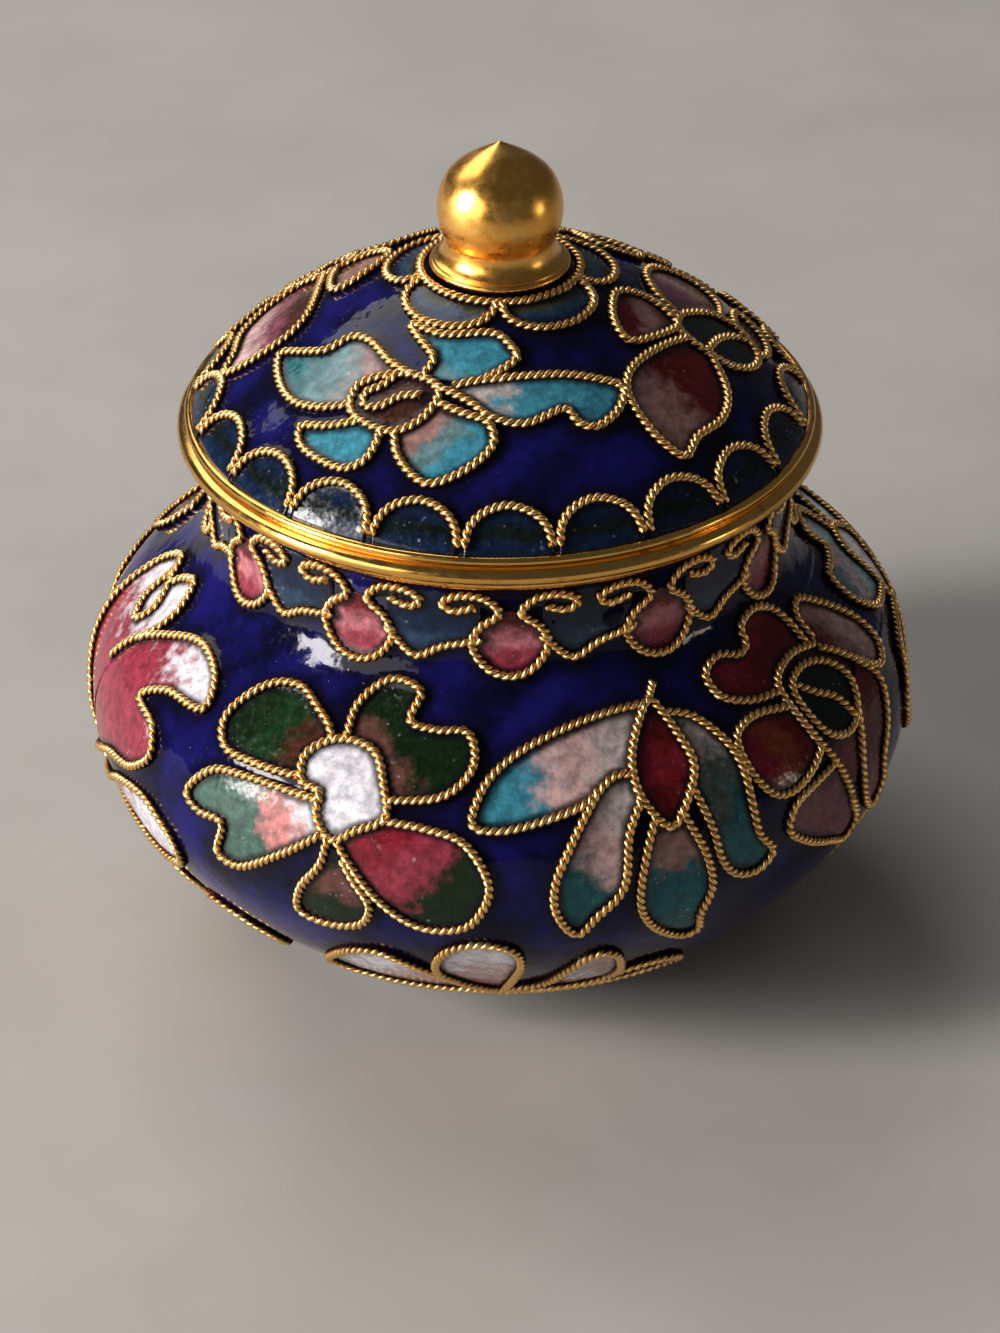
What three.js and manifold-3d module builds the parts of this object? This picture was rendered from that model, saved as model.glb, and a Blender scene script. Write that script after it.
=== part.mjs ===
// Cloisonne enamel pot with a domed lid: a squat enamelled copper vessel, gilt rims, a gilt ball finial
// and flowers drawn in raised gilt wire. Millimetres, +Z up, origin at the centre of the foot's underside.
// Bearings are degrees round the axis: 0 is the front (-Y) and they grow towards +X.
import * as THREE from 'three';
import { mergeVertices } from 'three/addons/utils/BufferGeometryUtils.js';
import Module from 'manifold-3d';

const wasm = await Module();
wasm.setup();

// ---- driving dimensions -------------------------------------------------------------------------
const BELLY_RADIUS = 32.0;
const BELLY_HEIGHT = 18.5; // height of the widest circle
const LOWER_DEPTH = 22.0; // how far the lower half would run down to its own pole
const LOWER_POWER = 1.7; // 2 would be an ellipse, less is more conical
const UPPER_RISE = 14.5;
const UPPER_POWER = 2.6; // more than 2 gives the full, square shoulder
const BASE_RADIUS = 17.5;
const DRAWING_RADIUS = 19.8; // distances up the vessel are measured from this circle, low on the belly
const SHOULDER_RADIUS = 27.9; // where the shoulder's curve turns into the neck's hollow
const NECK_RADIUS = 22.0;
const NECK_TOP = 39.6;
const WALL = 1.5;

const FOOT_RADIUS = 15.7;
const FOOT_WIDTH = 1.8;
const FOOT_HEIGHT = 1.25;
const MOUTH_TOP = 41.1;
const RIM_BOTTOM = 41.4;
const FIT_GAP = 0.3; // between pieces that touch in the real pot

const DOME_BASE = 42.55;
const DOME_RADIUS = 23.72;
const DOME_RISE = 13.65;
const DOME_POWER = 1.38;
const DOME_EDGE_RADIUS = 23.3;
const DOME_FLAT_RADIUS = 5.6; // the flat seat under the finial
const FLANGE_RADIUS = 20.0;
const FLANGE_BOTTOM = 38.6;

const SEAT_RADIUS = 5.3;
const SKIRT_RADIUS = 4.12;
const BALL_RADIUS = 4.73;
const BALL_HEIGHT = 59.8;
const FINIAL_TIP = 65.15;

const WIRE_WIDTH = 0.7;
const WIRE_STAND = 0.5; // how far a wire stands above the enamel
const WIRE_LIFT = 0.17; // the underside of a wire above the enamel
const WIRE_STEP = 3.8; // length of one straight piece of wire in a flower
const BAND_STEP = 4.4; // and in a band
const ALMOST_ONE = 0.999999; // the last share of an open curve that can be asked for

const ROUND_SIDES = 24;
const FINIAL_SIDES = 12;

// ---- materials ----------------------------------------------------------------------------------
const enamelBlue = new THREE.MeshStandardMaterial({ color: 0x14186e, roughness: 0.2, metalness: 0.0 });
const gilt = new THREE.MeshStandardMaterial({ color: 0xc8963c, roughness: 0.3, metalness: 1.0 });
const giltWire = new THREE.MeshStandardMaterial({ color: 0xd0a85c, roughness: 0.4, metalness: 1.0 });

// ---- outlines -----------------------------------------------------------------------------------
const radians = THREE.MathUtils.degToRad;

// A quarter of a superellipse from angle a0 to a1, measured from its side towards its pole.
function superellipse(radius, centre, rise, power, a0, a1, count) {
  const points = [];
  for (let i = 0; i <= count; i += 1) {
    const a = a0 + ((a1 - a0) * i) / count;
    const r = radius * Math.cos(a) ** (2 / power);
    const z = centre + rise * Math.sin(a) ** (2 / power);
    points.push(new THREE.Vector2(r, z));
  }
  return points;
}

// The angle at which such a curve has narrowed to a given radius.
function angleAtRadius(radius, narrowed, power) {
  return Math.acos((narrowed / radius) ** (power / 2));
}

// Outer side of the vessel, from the edge of its base up to the top of its neck.
function vesselOutline(detail, from) {
  const low = angleAtRadius(BELLY_RADIUS, from, LOWER_POWER);
  const high = angleAtRadius(BELLY_RADIUS, SHOULDER_RADIUS, UPPER_POWER);
  const belly = superellipse(BELLY_RADIUS, BELLY_HEIGHT, -LOWER_DEPTH, LOWER_POWER, low, 0, 5 * detail);
  const upper = superellipse(BELLY_RADIUS, BELLY_HEIGHT, UPPER_RISE, UPPER_POWER, 0, high, 4 * detail);
  const end = upper[upper.length - 1];
  const slope = upper[upper.length - 1].clone().sub(superellipse(
    BELLY_RADIUS, BELLY_HEIGHT, UPPER_RISE, UPPER_POWER, high - 0.01, high, 1)[0]).normalize();
  const run = (end.x - NECK_RADIUS) / -slope.x;
  const corner = end.clone().addScaledVector(slope, run);
  const hollow = new THREE.CubicBezierCurve(
    end,
    end.clone().addScaledVector(slope, run * 0.6),
    corner,
    new THREE.Vector2(NECK_RADIUS, corner.y + 3.0),
  ).getPoints(5 * detail);
  const top = new THREE.Vector2(NECK_RADIUS, NECK_TOP);
  return [...belly, ...upper.slice(1), ...hollow.slice(1), top];
}

// Outer side of the lid's dome, from its edge to the flat seat of the finial.
function domeOutline(detail, from) {
  const low = angleAtRadius(DOME_RADIUS, from, DOME_POWER);
  const high = angleAtRadius(DOME_RADIUS, DOME_FLAT_RADIUS, DOME_POWER);
  return superellipse(DOME_RADIUS, DOME_BASE, DOME_RISE, DOME_POWER, low, high, 6 * detail);
}

// The same outline moved inwards by the thickness of the wall.
function insideOf(outline, thickness) {
  return outline.map((point, i) => {
    const before = outline[Math.max(i - 1, 0)];
    const after = outline[Math.min(i + 1, outline.length - 1)];
    const along = after.clone().sub(before).normalize();
    return new THREE.Vector2(point.x - along.y * thickness, point.y + along.x * thickness);
  });
}

// ---- surfaces that carry wire -------------------------------------------------------------------
// A skin turns a distance up an outline, a bearing and a height above the surface into a point.
class Skin {
  constructor(outline) {
    this.outline = outline;
    this.reach = [0];
    for (let i = 1; i < outline.length; i += 1) {
      this.reach.push(this.reach[i - 1] + outline[i].distanceTo(outline[i - 1]));
    }
    this.length = this.reach[outline.length - 1];
  }

  at(distance) {
    const d = THREE.MathUtils.clamp(distance, 0.001, this.length - 0.001);
    const i = this.reach.findIndex((reach) => reach > d);
    const share = (d - this.reach[i - 1]) / (this.reach[i] - this.reach[i - 1]);
    const along = this.outline[i].clone().sub(this.outline[i - 1]).normalize();
    const point = this.outline[i - 1].clone().lerp(this.outline[i], share);
    return { point, out: new THREE.Vector2(along.y, -along.x) };
  }

  place(bearing, distance, height) {
    const { point, out } = this.at(distance);
    const r = point.x + out.x * height;
    const a = radians(bearing);
    return new THREE.Vector3(r * Math.sin(a), -r * Math.cos(a), point.y + out.y * height);
  }

  normal(bearing, distance) {
    return this.place(bearing, distance, 1).sub(this.place(bearing, distance, 0));
  }
}

const vesselSkin = new Skin(vesselOutline(12, DRAWING_RADIUS));
const domeSkin = new Skin(domeOutline(12, DOME_RADIUS));

// ---- solids -------------------------------------------------------------------------------------
function toManifold(geometry) {
  const bare = geometry.clone();
  bare.deleteAttribute('normal');
  bare.deleteAttribute('uv');
  const merged = mergeVertices(bare, 1e-5);
  return new wasm.Manifold(new wasm.Mesh({
    numProp: 3,
    vertProperties: Float32Array.from(merged.attributes.position.array),
    triVerts: Uint32Array.from(merged.index.array),
  }));
}

function toGeometry(solid) {
  const mesh = solid.getMesh();
  const geometry = new THREE.BufferGeometry();
  geometry.setAttribute('position', new THREE.BufferAttribute(mesh.vertProperties, 3));
  geometry.setIndex(new THREE.BufferAttribute(mesh.triVerts, 1));
  geometry.computeVertexNormals();
  return geometry;
}

// Three.js turns a lathe about +Y, so it is stood up to turn about +Z.
function turned(points, sides) {
  const geometry = new THREE.LatheGeometry(points, sides);
  geometry.rotateX(Math.PI / 2);
  return toGeometry(toManifold(geometry));
}

function closedRing(points) {
  return turned([...points, points[0].clone()], ROUND_SIDES);
}

function pairs(...values) {
  return values.map(([r, z]) => new THREE.Vector2(r, z));
}

function mesh(name, geometry, material) {
  const piece = new THREE.Mesh(geometry, material);
  piece.name = name;
  return piece;
}

// ---- turned pieces ------------------------------------------------------------------------------
function makeVessel() {
  const outer = vesselOutline(1, BASE_RADIUS);
  const inner = insideOf(outer, WALL).filter((p) => p.y > outer[0].y + WALL);
  const floor = outer[0].y + WALL;
  inner[inner.length - 1] = new THREE.Vector2(NECK_RADIUS - WALL, NECK_TOP);
  const points = [
    new THREE.Vector2(0, outer[0].y),
    ...outer,
    ...inner.reverse(),
    new THREE.Vector2(BASE_RADIUS - WALL, floor),
    new THREE.Vector2(0, floor),
  ];
  return mesh('vessel', turned(points, ROUND_SIDES), enamelBlue);
}

function makeFootRing() {
  return mesh('foot_ring', closedRing(pairs(
    [FOOT_RADIUS - FOOT_WIDTH, 0],
    [FOOT_RADIUS - 0.2, 0],
    [FOOT_RADIUS, FOOT_HEIGHT],
    [FOOT_RADIUS - FOOT_WIDTH, FOOT_HEIGHT],
  )), gilt);
}

function makeMouthRim() {
  return mesh('mouth_rim', closedRing(pairs(
    [NECK_RADIUS - 1.7, NECK_TOP + FIT_GAP],
    [NECK_RADIUS + 0.7, NECK_TOP + FIT_GAP],
    [NECK_RADIUS + 0.7, MOUTH_TOP - 0.4],
    [NECK_RADIUS + 0.1, MOUTH_TOP],
    [NECK_RADIUS - 1.7, MOUTH_TOP],
  )), gilt);
}

// A heavy bead below and a light bead above, with a groove between them.
function makeLidRim() {
  const inside = DOME_EDGE_RADIUS - 0.4;
  return mesh('lid_rim', closedRing(pairs(
    [inside, RIM_BOTTOM],
    [24.0, RIM_BOTTOM],
    [24.5, 41.75],
    [24.6, 42.15],
    [24.2, 42.6],
    [23.8, 42.8],
    [24.05, 43.15],
    [23.8, 43.55],
    [23.4, 43.5],
    [inside, 43.0],
  )), gilt);
}

function makeLid() {
  const outer = domeOutline(1, DOME_EDGE_RADIUS);
  const inner = insideOf(outer, WALL).filter((p) => p.x < FLANGE_RADIUS - WALL);
  const top = outer[outer.length - 1].y;
  const under = RIM_BOTTOM + 0.2;
  const side = DOME_EDGE_RADIUS - 0.4 - FIT_GAP;
  const points = [
    new THREE.Vector2(0, top - WALL),
    ...inner.reverse().filter((p) => p.y < top - WALL),
    ...pairs(
      [FLANGE_RADIUS - 1.1, under + 1.2],
      [FLANGE_RADIUS - 1.1, FLANGE_BOTTOM],
      [FLANGE_RADIUS, FLANGE_BOTTOM],
      [FLANGE_RADIUS, under],
      [side, under],
      [side, outer[0].y - 0.6],
    ),
    ...outer,
    new THREE.Vector2(0, top),
  ];
  return mesh('lid', turned(points, ROUND_SIDES), enamelBlue);
}

// A rolled seat, a short flared skirt and a ball drawn up to a point.
function makeFinial() {
  const seat = domeSkin.outline[domeSkin.outline.length - 1].y + FIT_GAP;
  const points = pairs(
    [0, seat],
    [SEAT_RADIUS - 0.2, seat],
    [SEAT_RADIUS, seat + 0.3],
    [SEAT_RADIUS - 0.25, seat + 0.6],
    [SKIRT_RADIUS + 0.35, seat + 1.0],
    [SKIRT_RADIUS, seat + 2.1],
  );
  for (let angle = -28; angle <= 32; angle += 20) {
    const a = radians(angle);
    points.push(new THREE.Vector2(BALL_RADIUS * Math.cos(a), BALL_HEIGHT + BALL_RADIUS * Math.sin(a)));
  }
  const crown = new THREE.CubicBezierCurve(
    points[points.length - 1],
    new THREE.Vector2(3.3, BALL_HEIGHT + 3.6),
    new THREE.Vector2(1.45, BALL_HEIGHT + 4.5),
    new THREE.Vector2(0, FINIAL_TIP),
  );
  points.push(...crown.getPoints(4).slice(1));
  return mesh('finial', turned(points, FINIAL_SIDES), gilt);
}

// ---- wire ---------------------------------------------------------------------------------------
// A path gives [bearing, distance] for a share of its length from 0 to 1.
// Each corner of a wire's section is [across, above the skin].
const wireSection = [[-WIRE_WIDTH / 2, WIRE_LIFT], [WIRE_WIDTH / 2, WIRE_LIFT], [0, WIRE_STAND]];

// Moves every corner of a straight or round ridge to its place beside a path on a skin.
// The reader gives a corner's { share, across, height } in the ridge.
function bend(ridge, skin, path, read) {
  const place = ridge.attributes.position;
  for (let i = 0; i < place.count; i += 1) {
    const { share, across, height } = read(new THREE.Vector3().fromBufferAttribute(place, i));
    const [bearing, distance] = path(share);
    const ahead = skin.place(...path(share + 0.01), 0);
    const behind = skin.place(...path(share - 0.01), 0);
    const up = skin.normal(bearing, distance);
    const side = new THREE.Vector3().crossVectors(up, ahead.sub(behind).normalize());
    const point = skin.place(bearing, distance, height).addScaledVector(side, across);
    place.setXYZ(i, point.x, point.y, point.z);
  }
  return toManifold(ridge);
}

// A wire with two ends is an extruded ridge.
function openWire(skin, path, steps) {
  const section = new THREE.Shape(wireSection.map(([across, height]) => new THREE.Vector2(across, height)));
  const ridge = new THREE.ExtrudeGeometry(section, { depth: 1, steps, bevelEnabled: false });
  const clamped = (share) => path(THREE.MathUtils.clamp(share, 0, 1));
  return bend(ridge, skin, clamped, (corner) => ({ share: corner.z, across: corner.x, height: corner.y }));
}

// A closed wire is a ridge turned round a circle of radius 1 + across.
function closedWire(skin, path, steps) {
  const section = wireSection.map(([across, height]) => new THREE.Vector2(1 + across, height));
  const ridge = new THREE.LatheGeometry([...section, section[0].clone()], steps);
  const wrapped = (share) => path(THREE.MathUtils.euclideanModulo(share, 1));
  return bend(ridge, skin, wrapped, (corner) => ({
    share: Math.round(Math.atan2(corner.x, corner.z) / (2 * Math.PI) * steps) / steps,
    across: 1 - Math.hypot(corner.x, corner.z),
    height: corner.y,
  }));
}

// A smooth wire through points given in millimetres across and up from an anchor on the skin.
function smoothWire(skin, anchor, points, { closed = false, step = WIRE_STEP } = {}) {
  const curve = new THREE.CatmullRomCurve3(
    points.map(([x, y]) => new THREE.Vector3(x, y, 0)),
    closed,
    'centripetal',
  );
  const path = (share) => {
    const local = curve.getPointAt(Math.min(share, ALMOST_ONE));
    const distance = anchor.distance + local.y;
    const across = THREE.MathUtils.radToDeg(local.x / skin.at(distance).point.x);
    return [anchor.bearing + across, distance];
  };
  const steps = Math.ceil(curve.getLength() / step);
  return closed ? closedWire(skin, path, steps) : openWire(skin, path, steps);
}

// Wires that cross can shut in specks of air, which the outer shell leaves out.
function fuse(solids) {
  const shells = wasm.Manifold.union(solids).decompose();
  shells.sort((one, other) => other.volume() - one.volume());
  return toGeometry(shells[0]);
}

// ---- motifs -------------------------------------------------------------------------------------
// Each flower is drawn flat, in millimetres across and up from its anchor, and then laid on a skin.
// The heart is a closed wire. A petal's wire starts and ends on the heart or on its neighbour.
const dogRose = {
  heart: [[-3.6, 1.3], [-4.0, 3.2], [-1.9, 5.1], [1.0, 4.9], [2.6, 2.4], [3.3, 0.1], [1.2, -1.2],
    [-0.4, -2.2], [-1.9, -0.8], [-2.1, 1.0]],
  petals: [
    [[-4.0, 1.6], [-8.0, 1.4], [-11.0, 1.6], [-11.8, 3.2], [-10.4, 5.8], [-8.0, 7.7], [-5.9, 8.0],
      [-4.3, 7.0], [-2.9, 5.9], [-2.3, 4.9]],
    [[-1.3, 5.3], [-1.2, 8.1], [0.9, 10.5], [3.2, 9.9], [3.0, 7.6], [5.2, 7.1], [7.4, 7.1], [8.6, 4.4],
      [7.4, 2.3], [3.0, 1.3]],
    [[-2.1, 0.4], [-8.2, 0.3], [-11.6, -0.4], [-13.8, -3.0], [-12.4, -3.8], [-10.0, -3.8],
      [-10.4, -6.5], [-8.6, -6.9], [-4.8, -4.6], [-1.3, -2.0]],
    [[3.1, -0.1], [6.4, -0.3], [9.4, -1.2], [11.5, -4.6], [9.9, -7.9], [6.8, -8.5], [3.6, -6.6],
      [0.8, -3.4], [-0.1, -2.2]],
    [[-0.8, -2.2], [-1.2, -4.2], [-2.9, -6.8], [-3.2, -9.2], [-1.0, -9.9], [1.8, -9.0], [2.6, -7.0],
      [1.5, -5.2], [0.5, -3.6]],
  ],
  strays: [],
};

const iris = {
  heart: [[4.0, 8.3], [2.4, 6.2], [1.4, 3.4], [1.7, 1.0], [3.6, -1.3], [5.3, 0.6], [6.2, 2.7],
    [5.6, 5.0], [4.7, 7.2]],
  petals: [
    [[3.6, 8.1], [0.5, 8.0], [-3.2, 7.1], [-7.0, 5.3], [-9.8, 2.8], [-11.0, 0.1], [-9.2, -0.2],
      [-5.6, 0.5], [-2.6, 1.4], [0.0, 3.1], [1.5, 3.0]],
    [[-1.5, 2.2], [-3.1, 0.1], [-4.3, -1.8], [-5.4, -4.2], [-5.4, -6.7], [-3.6, -9.2], [-2.4, -7.6],
      [-0.4, -5.4], [0.3, -1.2], [1.5, 1.0]],
    [[2.4, -0.3], [1.6, -2.4], [1.0, -5.2], [1.1, -7.6], [2.8, -10.4], [5.4, -12.3], [6.3, -11.9],
      [6.1, -9.8], [6.8, -7.0], [6.2, -4.0], [5.0, -1.4], [4.5, -0.3]],
    [[4.8, 7.1], [6.8, 6.3], [8.8, 4.2], [10.1, 1.6], [10.5, -1.6], [11.0, -4.0], [12.3, -5.9],
      [10.9, -7.0], [8.9, -6.6], [7.6, -5.0], [6.9, -2.4], [5.7, 1.0]],
  ],
  strays: [[[3.9, 8.2], [4.3, 8.9], [4.6, 9.5]]],
};

const peony = {
  heart: [[0.2, 1.6], [2.4, 2.4], [4.9, 1.4], [6.2, -0.8], [4.9, -3.0], [3.0, -3.7], [0.8, -2.8],
    [-0.1, -0.8]],
  petals: [
    [[4.6, 3.3], [4.4, 5.6], [3.4, 7.3], [1.4, 8.2], [-0.5, 7.6], [-0.9, 6.3], [-2.0, 5.9], [-3.8, 6.6],
      [-5.7, 5.7], [-5.8, 3.7], [-3.8, 2.4], [-1.0, 1.9]],
    [[5.6, 3.1], [5.7, 5.4], [6.9, 6.1], [9.6, 4.2], [12.3, 1.0], [12.8, -1.6], [11.2, -2.4],
      [8.4, -0.4], [6.9, 1.2], [5.3, 2.6]],
    [[-1.2, 0.6], [-4.6, 1.3], [-7.0, 0.4], [-7.6, -2.4], [-6.4, -4.6], [-4.6, -5.0], [-2.2, -4.3],
      [-0.5, -3.2]],
    [[0.4, -4.9], [-2.4, -5.4], [-4.8, -6.2], [-5.6, -7.8], [-3.6, -9.7], [-0.4, -11.4], [2.2, -12.6],
      [3.1, -11.4], [2.0, -8.6]],
    [[5.4, -2.4], [4.4, -4.4], [3.8, -7.0], [4.4, -10.2], [6.6, -12.0], [7.6, -10.3], [7.5, -8.0],
      [9.0, -5.4], [9.9, -2.8], [8.3, -0.4]],
  ],
  strays: [
    [[5.4, 2.9], [2.2, 3.6], [-0.6, 2.6], [-1.1, 0.2], [-0.6, -2.6], [0.6, -5.2], [2.0, -8.4]],
    [[0.5, 1.7], [1.9, 0.2], [3.4, -1.0], [4.5, -3.2]],
  ],
};

const blownRose = {
  heart: [[-11.2, -9.8], [-10.4, -11.2], [-11.8, -12.4], [-13.4, -11.4], [-13.2, -9.8]],
  petals: [
    [[-11.3, -9.7], [-7.5, -7.6], [-3.5, -5.6], [0.8, -4.5], [3.3, -2.2], [2.2, -0.3], [-0.9, 0.6],
      [1.4, 2.4], [5.8, 3.1], [4.2, 5.6], [0.6, 6.8], [-3.4, 5.0], [-6.2, 2.8], [-8.0, 0.1]],
    [[-5.9, 3.0], [-4.8, 5.0], [-4.5, 7.0], [-5.6, 9.0], [-7.4, 8.2], [-8.8, 6.9], [-10.4, 8.3],
      [-13.2, 6.4], [-15.2, 2.0], [-15.4, -4.0], [-12.8, -9.7]],
    [[-10.5, -11.0], [-5.5, -9.1], [-1.6, -6.9], [3.2, -6.1], [6.4, -8.2], [6.0, -10.8], [2.8, -12.2],
      [-2.0, -12.4], [-7.0, -12.2], [-11.2, -12.1]],
    [[-13.3, -10.6], [-16.0, -9.4], [-19.0, -6.8], [-20.4, -8.8], [-19.4, -11.4], [-16.2, -12.3],
      [-12.9, -11.8]],
  ],
  strays: [[[-8.9, 7.2], [-7.5, 5.0], [-8.6, 3.2], [-10.2, 4.6], [-9.6, 7.8]]],
};

const lidRose = {
  heart: [[-3.6, -0.2], [-2.2, 1.3], [0.2, 2.3], [2.6, 1.6], [2.7, -0.8], [1.2, -2.5], [-1.2, -2.6],
    [-3.2, -1.9]],
  petals: [
    [[0.0, 2.3], [-2.0, 2.7], [-4.6, 3.5], [-6.6, 3.0], [-8.4, 0.9], [-11.0, -0.6], [-13.6, -2.2],
      [-11.5, -3.2], [-8.6, -3.6], [-5.6, -2.8], [-3.3, -1.6]],
    [[-1.8, -2.5], [-4.4, -3.9], [-6.6, -4.9], [-6.0, -5.9], [-3.6, -6.4], [-1.2, -6.3], [0.0, -5.1],
      [0.1, -2.6]],
    [[1.0, -2.5], [2.0, -4.2], [4.0, -5.7], [5.3, -6.1], [7.4, -4.8], [8.5, -2.8], [7.4, -0.9],
      [5.2, -0.2], [2.8, 0.5]],
    [[1.9, 1.9], [5.0, 0.9], [7.6, -0.5], [10.2, -1.0], [12.6, -0.1], [14.2, -1.4], [16.0, -2.0],
      [17.4, -1.1], [17.4, 0.2], [14.8, 1.6], [11.0, 2.8], [7.6, 3.0], [5.0, 2.6], [3.4, 1.5]],
    [[0.9, 2.3], [1.0, 4.0], [-0.6, 5.2], [-2.3, 6.3], [0.6, 6.3], [4.0, 7.0], [5.8, 5.9], [6.9, 4.6],
      [6.3, 3.7], [5.4, 2.8]],
  ],
  strays: [[[1.6, 0.8], [0.2, 0.3], [-1.0, -1.0], [-2.2, -1.3], [-2.6, -0.4], [-1.6, 0.7], [-0.9, 2.0]]],
};

const lidPeony = {
  heart: [[3.7, 2.5], [5.2, 2.8], [7.6, 1.6], [10.2, -0.6], [11.0, -2.6], [9.6, -4.2], [7.2, -4.0],
    [4.8, -2.4], [3.7, 0.0]],
  petals: [
    [[3.6, 1.6], [1.2, 2.5], [-1.5, 2.9], [-4.0, 2.4], [-5.7, 1.0], [-6.7, -1.2], [-7.0, -3.8],
      [-6.4, -5.3], [-4.2, -4.4], [-1.0, -4.3], [1.6, -3.2], [3.8, -0.6]],
    [[3.6, 2.7], [0.8, 3.6], [-1.4, 4.6], [-0.9, 6.2], [0.6, 7.5], [2.4, 7.9], [4.1, 6.6], [4.9, 4.6],
      [4.4, 2.8]],
    [[5.2, 2.9], [6.4, 4.8], [8.4, 5.2], [12.0, 3.8], [15.0, 1.4], [16.0, -1.0], [14.2, -1.6],
      [10.5, -1.0]],
    [[10.9, -2.4], [13.5, -2.7], [15.4, -3.8], [14.4, -5.2], [11.2, -5.3], [9.2, -4.1]],
  ],
  strays: [[[3.8, -0.1], [6.4, -0.6], [9.2, -2.2], [10.4, -3.6]]],
};

const lotus = {
  heart: [[-1.5, -1.0], [0.0, 0.2], [1.5, -0.9], [0.9, -2.6], [-0.9, -2.6]],
  petals: [
    [[-0.9, -0.4], [-3.6, 2.8], [-5.3, 5.2], [-5.5, 7.7], [-4.6, 9.8], [-2.9, 10.8], [-1.0, 10.7],
      [0.3, 9.8], [0.8, 7.6], [0.4, 5.0], [-0.1, 2.0], [-0.3, -0.1]],
    [[-3.8, 3.1], [-6.1, 5.4], [-7.8, 6.9], [-9.8, 8.1], [-12.1, 7.3], [-13.6, 5.1], [-14.1, 2.5],
      [-12.3, 0.4], [-8.0, -1.2], [-4.0, -1.4], [-1.3, -1.0]],
    [[0.2, 0.1], [2.5, 2.2], [4.0, 5.2], [5.6, 7.7], [6.8, 8.6], [7.9, 7.9], [8.4, 6.0], [8.1, 2.6],
      [6.4, 0.4], [3.4, -0.6], [1.3, -0.8]],
    [[8.2, 3.0], [9.4, 3.6], [10.9, 4.0], [12.8, 3.6], [13.6, 1.8], [12.0, -0.6], [7.4, -2.2],
      [3.6, -2.4], [1.2, -2.0]],
  ],
  strays: [],
};

// A flower laid at a bearing and a distance up its skin; flip -1 mirrors it, size scales it.
function makeFlower({ name, skin, motif, bearing, distance, flip = 1, size = 1 }) {
  const anchor = { bearing, distance };
  const shaped = (points) => points.map(([x, y]) => [x * flip * size, y * size]);
  const wires = [smoothWire(skin, anchor, shaped(motif.heart), { closed: true })];
  [...motif.petals, ...motif.strays].forEach((points) => {
    wires.push(smoothWire(skin, anchor, shaped(points)));
  });
  return mesh(name, fuse(wires), giltWire);
}

const flowers = [
  { name: 'wire_rose_front', skin: vesselSkin, motif: dogRose, bearing: -22, distance: 27 },
  { name: 'wire_iris_front', skin: vesselSkin, motif: iris, bearing: 17, distance: 27 },
  { name: 'wire_peony_right', skin: vesselSkin, motif: peony, bearing: 52, distance: 30 },
  { name: 'wire_rose_right', skin: vesselSkin, motif: dogRose, bearing: 100, distance: 27, flip: -1 },
  { name: 'wire_iris_back', skin: vesselSkin, motif: iris, bearing: 145, distance: 27, flip: -1 },
  { name: 'wire_peony_back', skin: vesselSkin, motif: peony, bearing: 182, distance: 30 },
  { name: 'wire_rose_back', skin: vesselSkin, motif: dogRose, bearing: 235, distance: 27 },
  { name: 'wire_blown_rose_left', skin: vesselSkin, motif: blownRose, bearing: -62, distance: 27 },
  { name: 'wire_lotus_front', skin: vesselSkin, motif: lotus, bearing: 1.5, distance: 6 },
  { name: 'wire_lotus_right', skin: vesselSkin, motif: lotus, bearing: 96, distance: 6 },
  { name: 'wire_lotus_back', skin: vesselSkin, motif: lotus, bearing: 181.5, distance: 6 },
  { name: 'wire_lotus_left', skin: vesselSkin, motif: lotus, bearing: -67, distance: 4.6, flip: -1, size: 0.8 },
  { name: 'wire_lid_rose_front', skin: domeSkin, motif: lidRose, bearing: -30, distance: 12 },
  { name: 'wire_lid_peony_right', skin: domeSkin, motif: lidPeony, bearing: 60, distance: 11 },
  { name: 'wire_lid_peony_left', skin: domeSkin, motif: lidPeony, bearing: -104, distance: 10.2, flip: -1 },
  { name: 'wire_lid_rose_back', skin: domeSkin, motif: dogRose, bearing: 160, distance: 12, size: 0.65 },
];

// ---- bands --------------------------------------------------------------------------------------
function mirrored(half) {
  const other = half.slice(0, -1).map(([x, y]) => [-x, y]).reverse();
  return [...half, ...other];
}

// Drops under two open curls, joined by the pointed lower edges of the lappets between them.
const DROP_COUNT = 12;
const DROP_BEARING = 2;
const DROP_STEP = 2.2; // shorter pieces of wire, for its tight turns
const dropHalf = [[-4.6, 44.0], [-3.2, 44.9], [-1.2, 44.2], [-1.5, 42.9], [-2.8, 40.9], [-1.7, 39.0],
  [0.0, 38.4]];
const lappetEdge = [[2.3, 41.6], [4.6, 39.6], [6.6, 40.6], [9.4, 41.3]];

function makeNeckWires() {
  const wires = [];
  for (let i = 0; i < DROP_COUNT; i += 1) {
    const anchor = { bearing: DROP_BEARING + (360 / DROP_COUNT) * i, distance: 0 };
    wires.push(smoothWire(vesselSkin, anchor, mirrored(dropHalf), { step: DROP_STEP }));
    wires.push(smoothWire(vesselSkin, anchor, lappetEdge, { step: BAND_STEP }));
  }
  return mesh('wire_neck_band', fuse(wires), giltWire);
}

// Arched scallops round the edge of the dome.
const SCALLOP_COUNT = 21;
const SCALLOP_BEARING = -15.6;
const scallopHalf = [[-3.2, 1.5], [-2.8, 2.9], [-1.8, 4.0], [0.0, 4.6]];

function makeScallopWires() {
  const wires = [];
  for (let i = 0; i < SCALLOP_COUNT; i += 1) {
    const anchor = { bearing: SCALLOP_BEARING + (360 / SCALLOP_COUNT) * i, distance: 0 };
    wires.push(smoothWire(domeSkin, anchor, mirrored(scallopHalf), { step: BAND_STEP }));
  }
  return mesh('wire_scallop_band', fuse(wires), giltWire);
}

// A ring round the finial's seat, and five petals that hang from it.
const COLLAR_PETAL_COUNT = 5;
const COLLAR_PETAL_BEARING = -37;
const COLLAR_RING_SIDES = 15;
const COLLAR_RING_INSET = 0.35; // from the edge of the flat seat, down the dome

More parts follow.
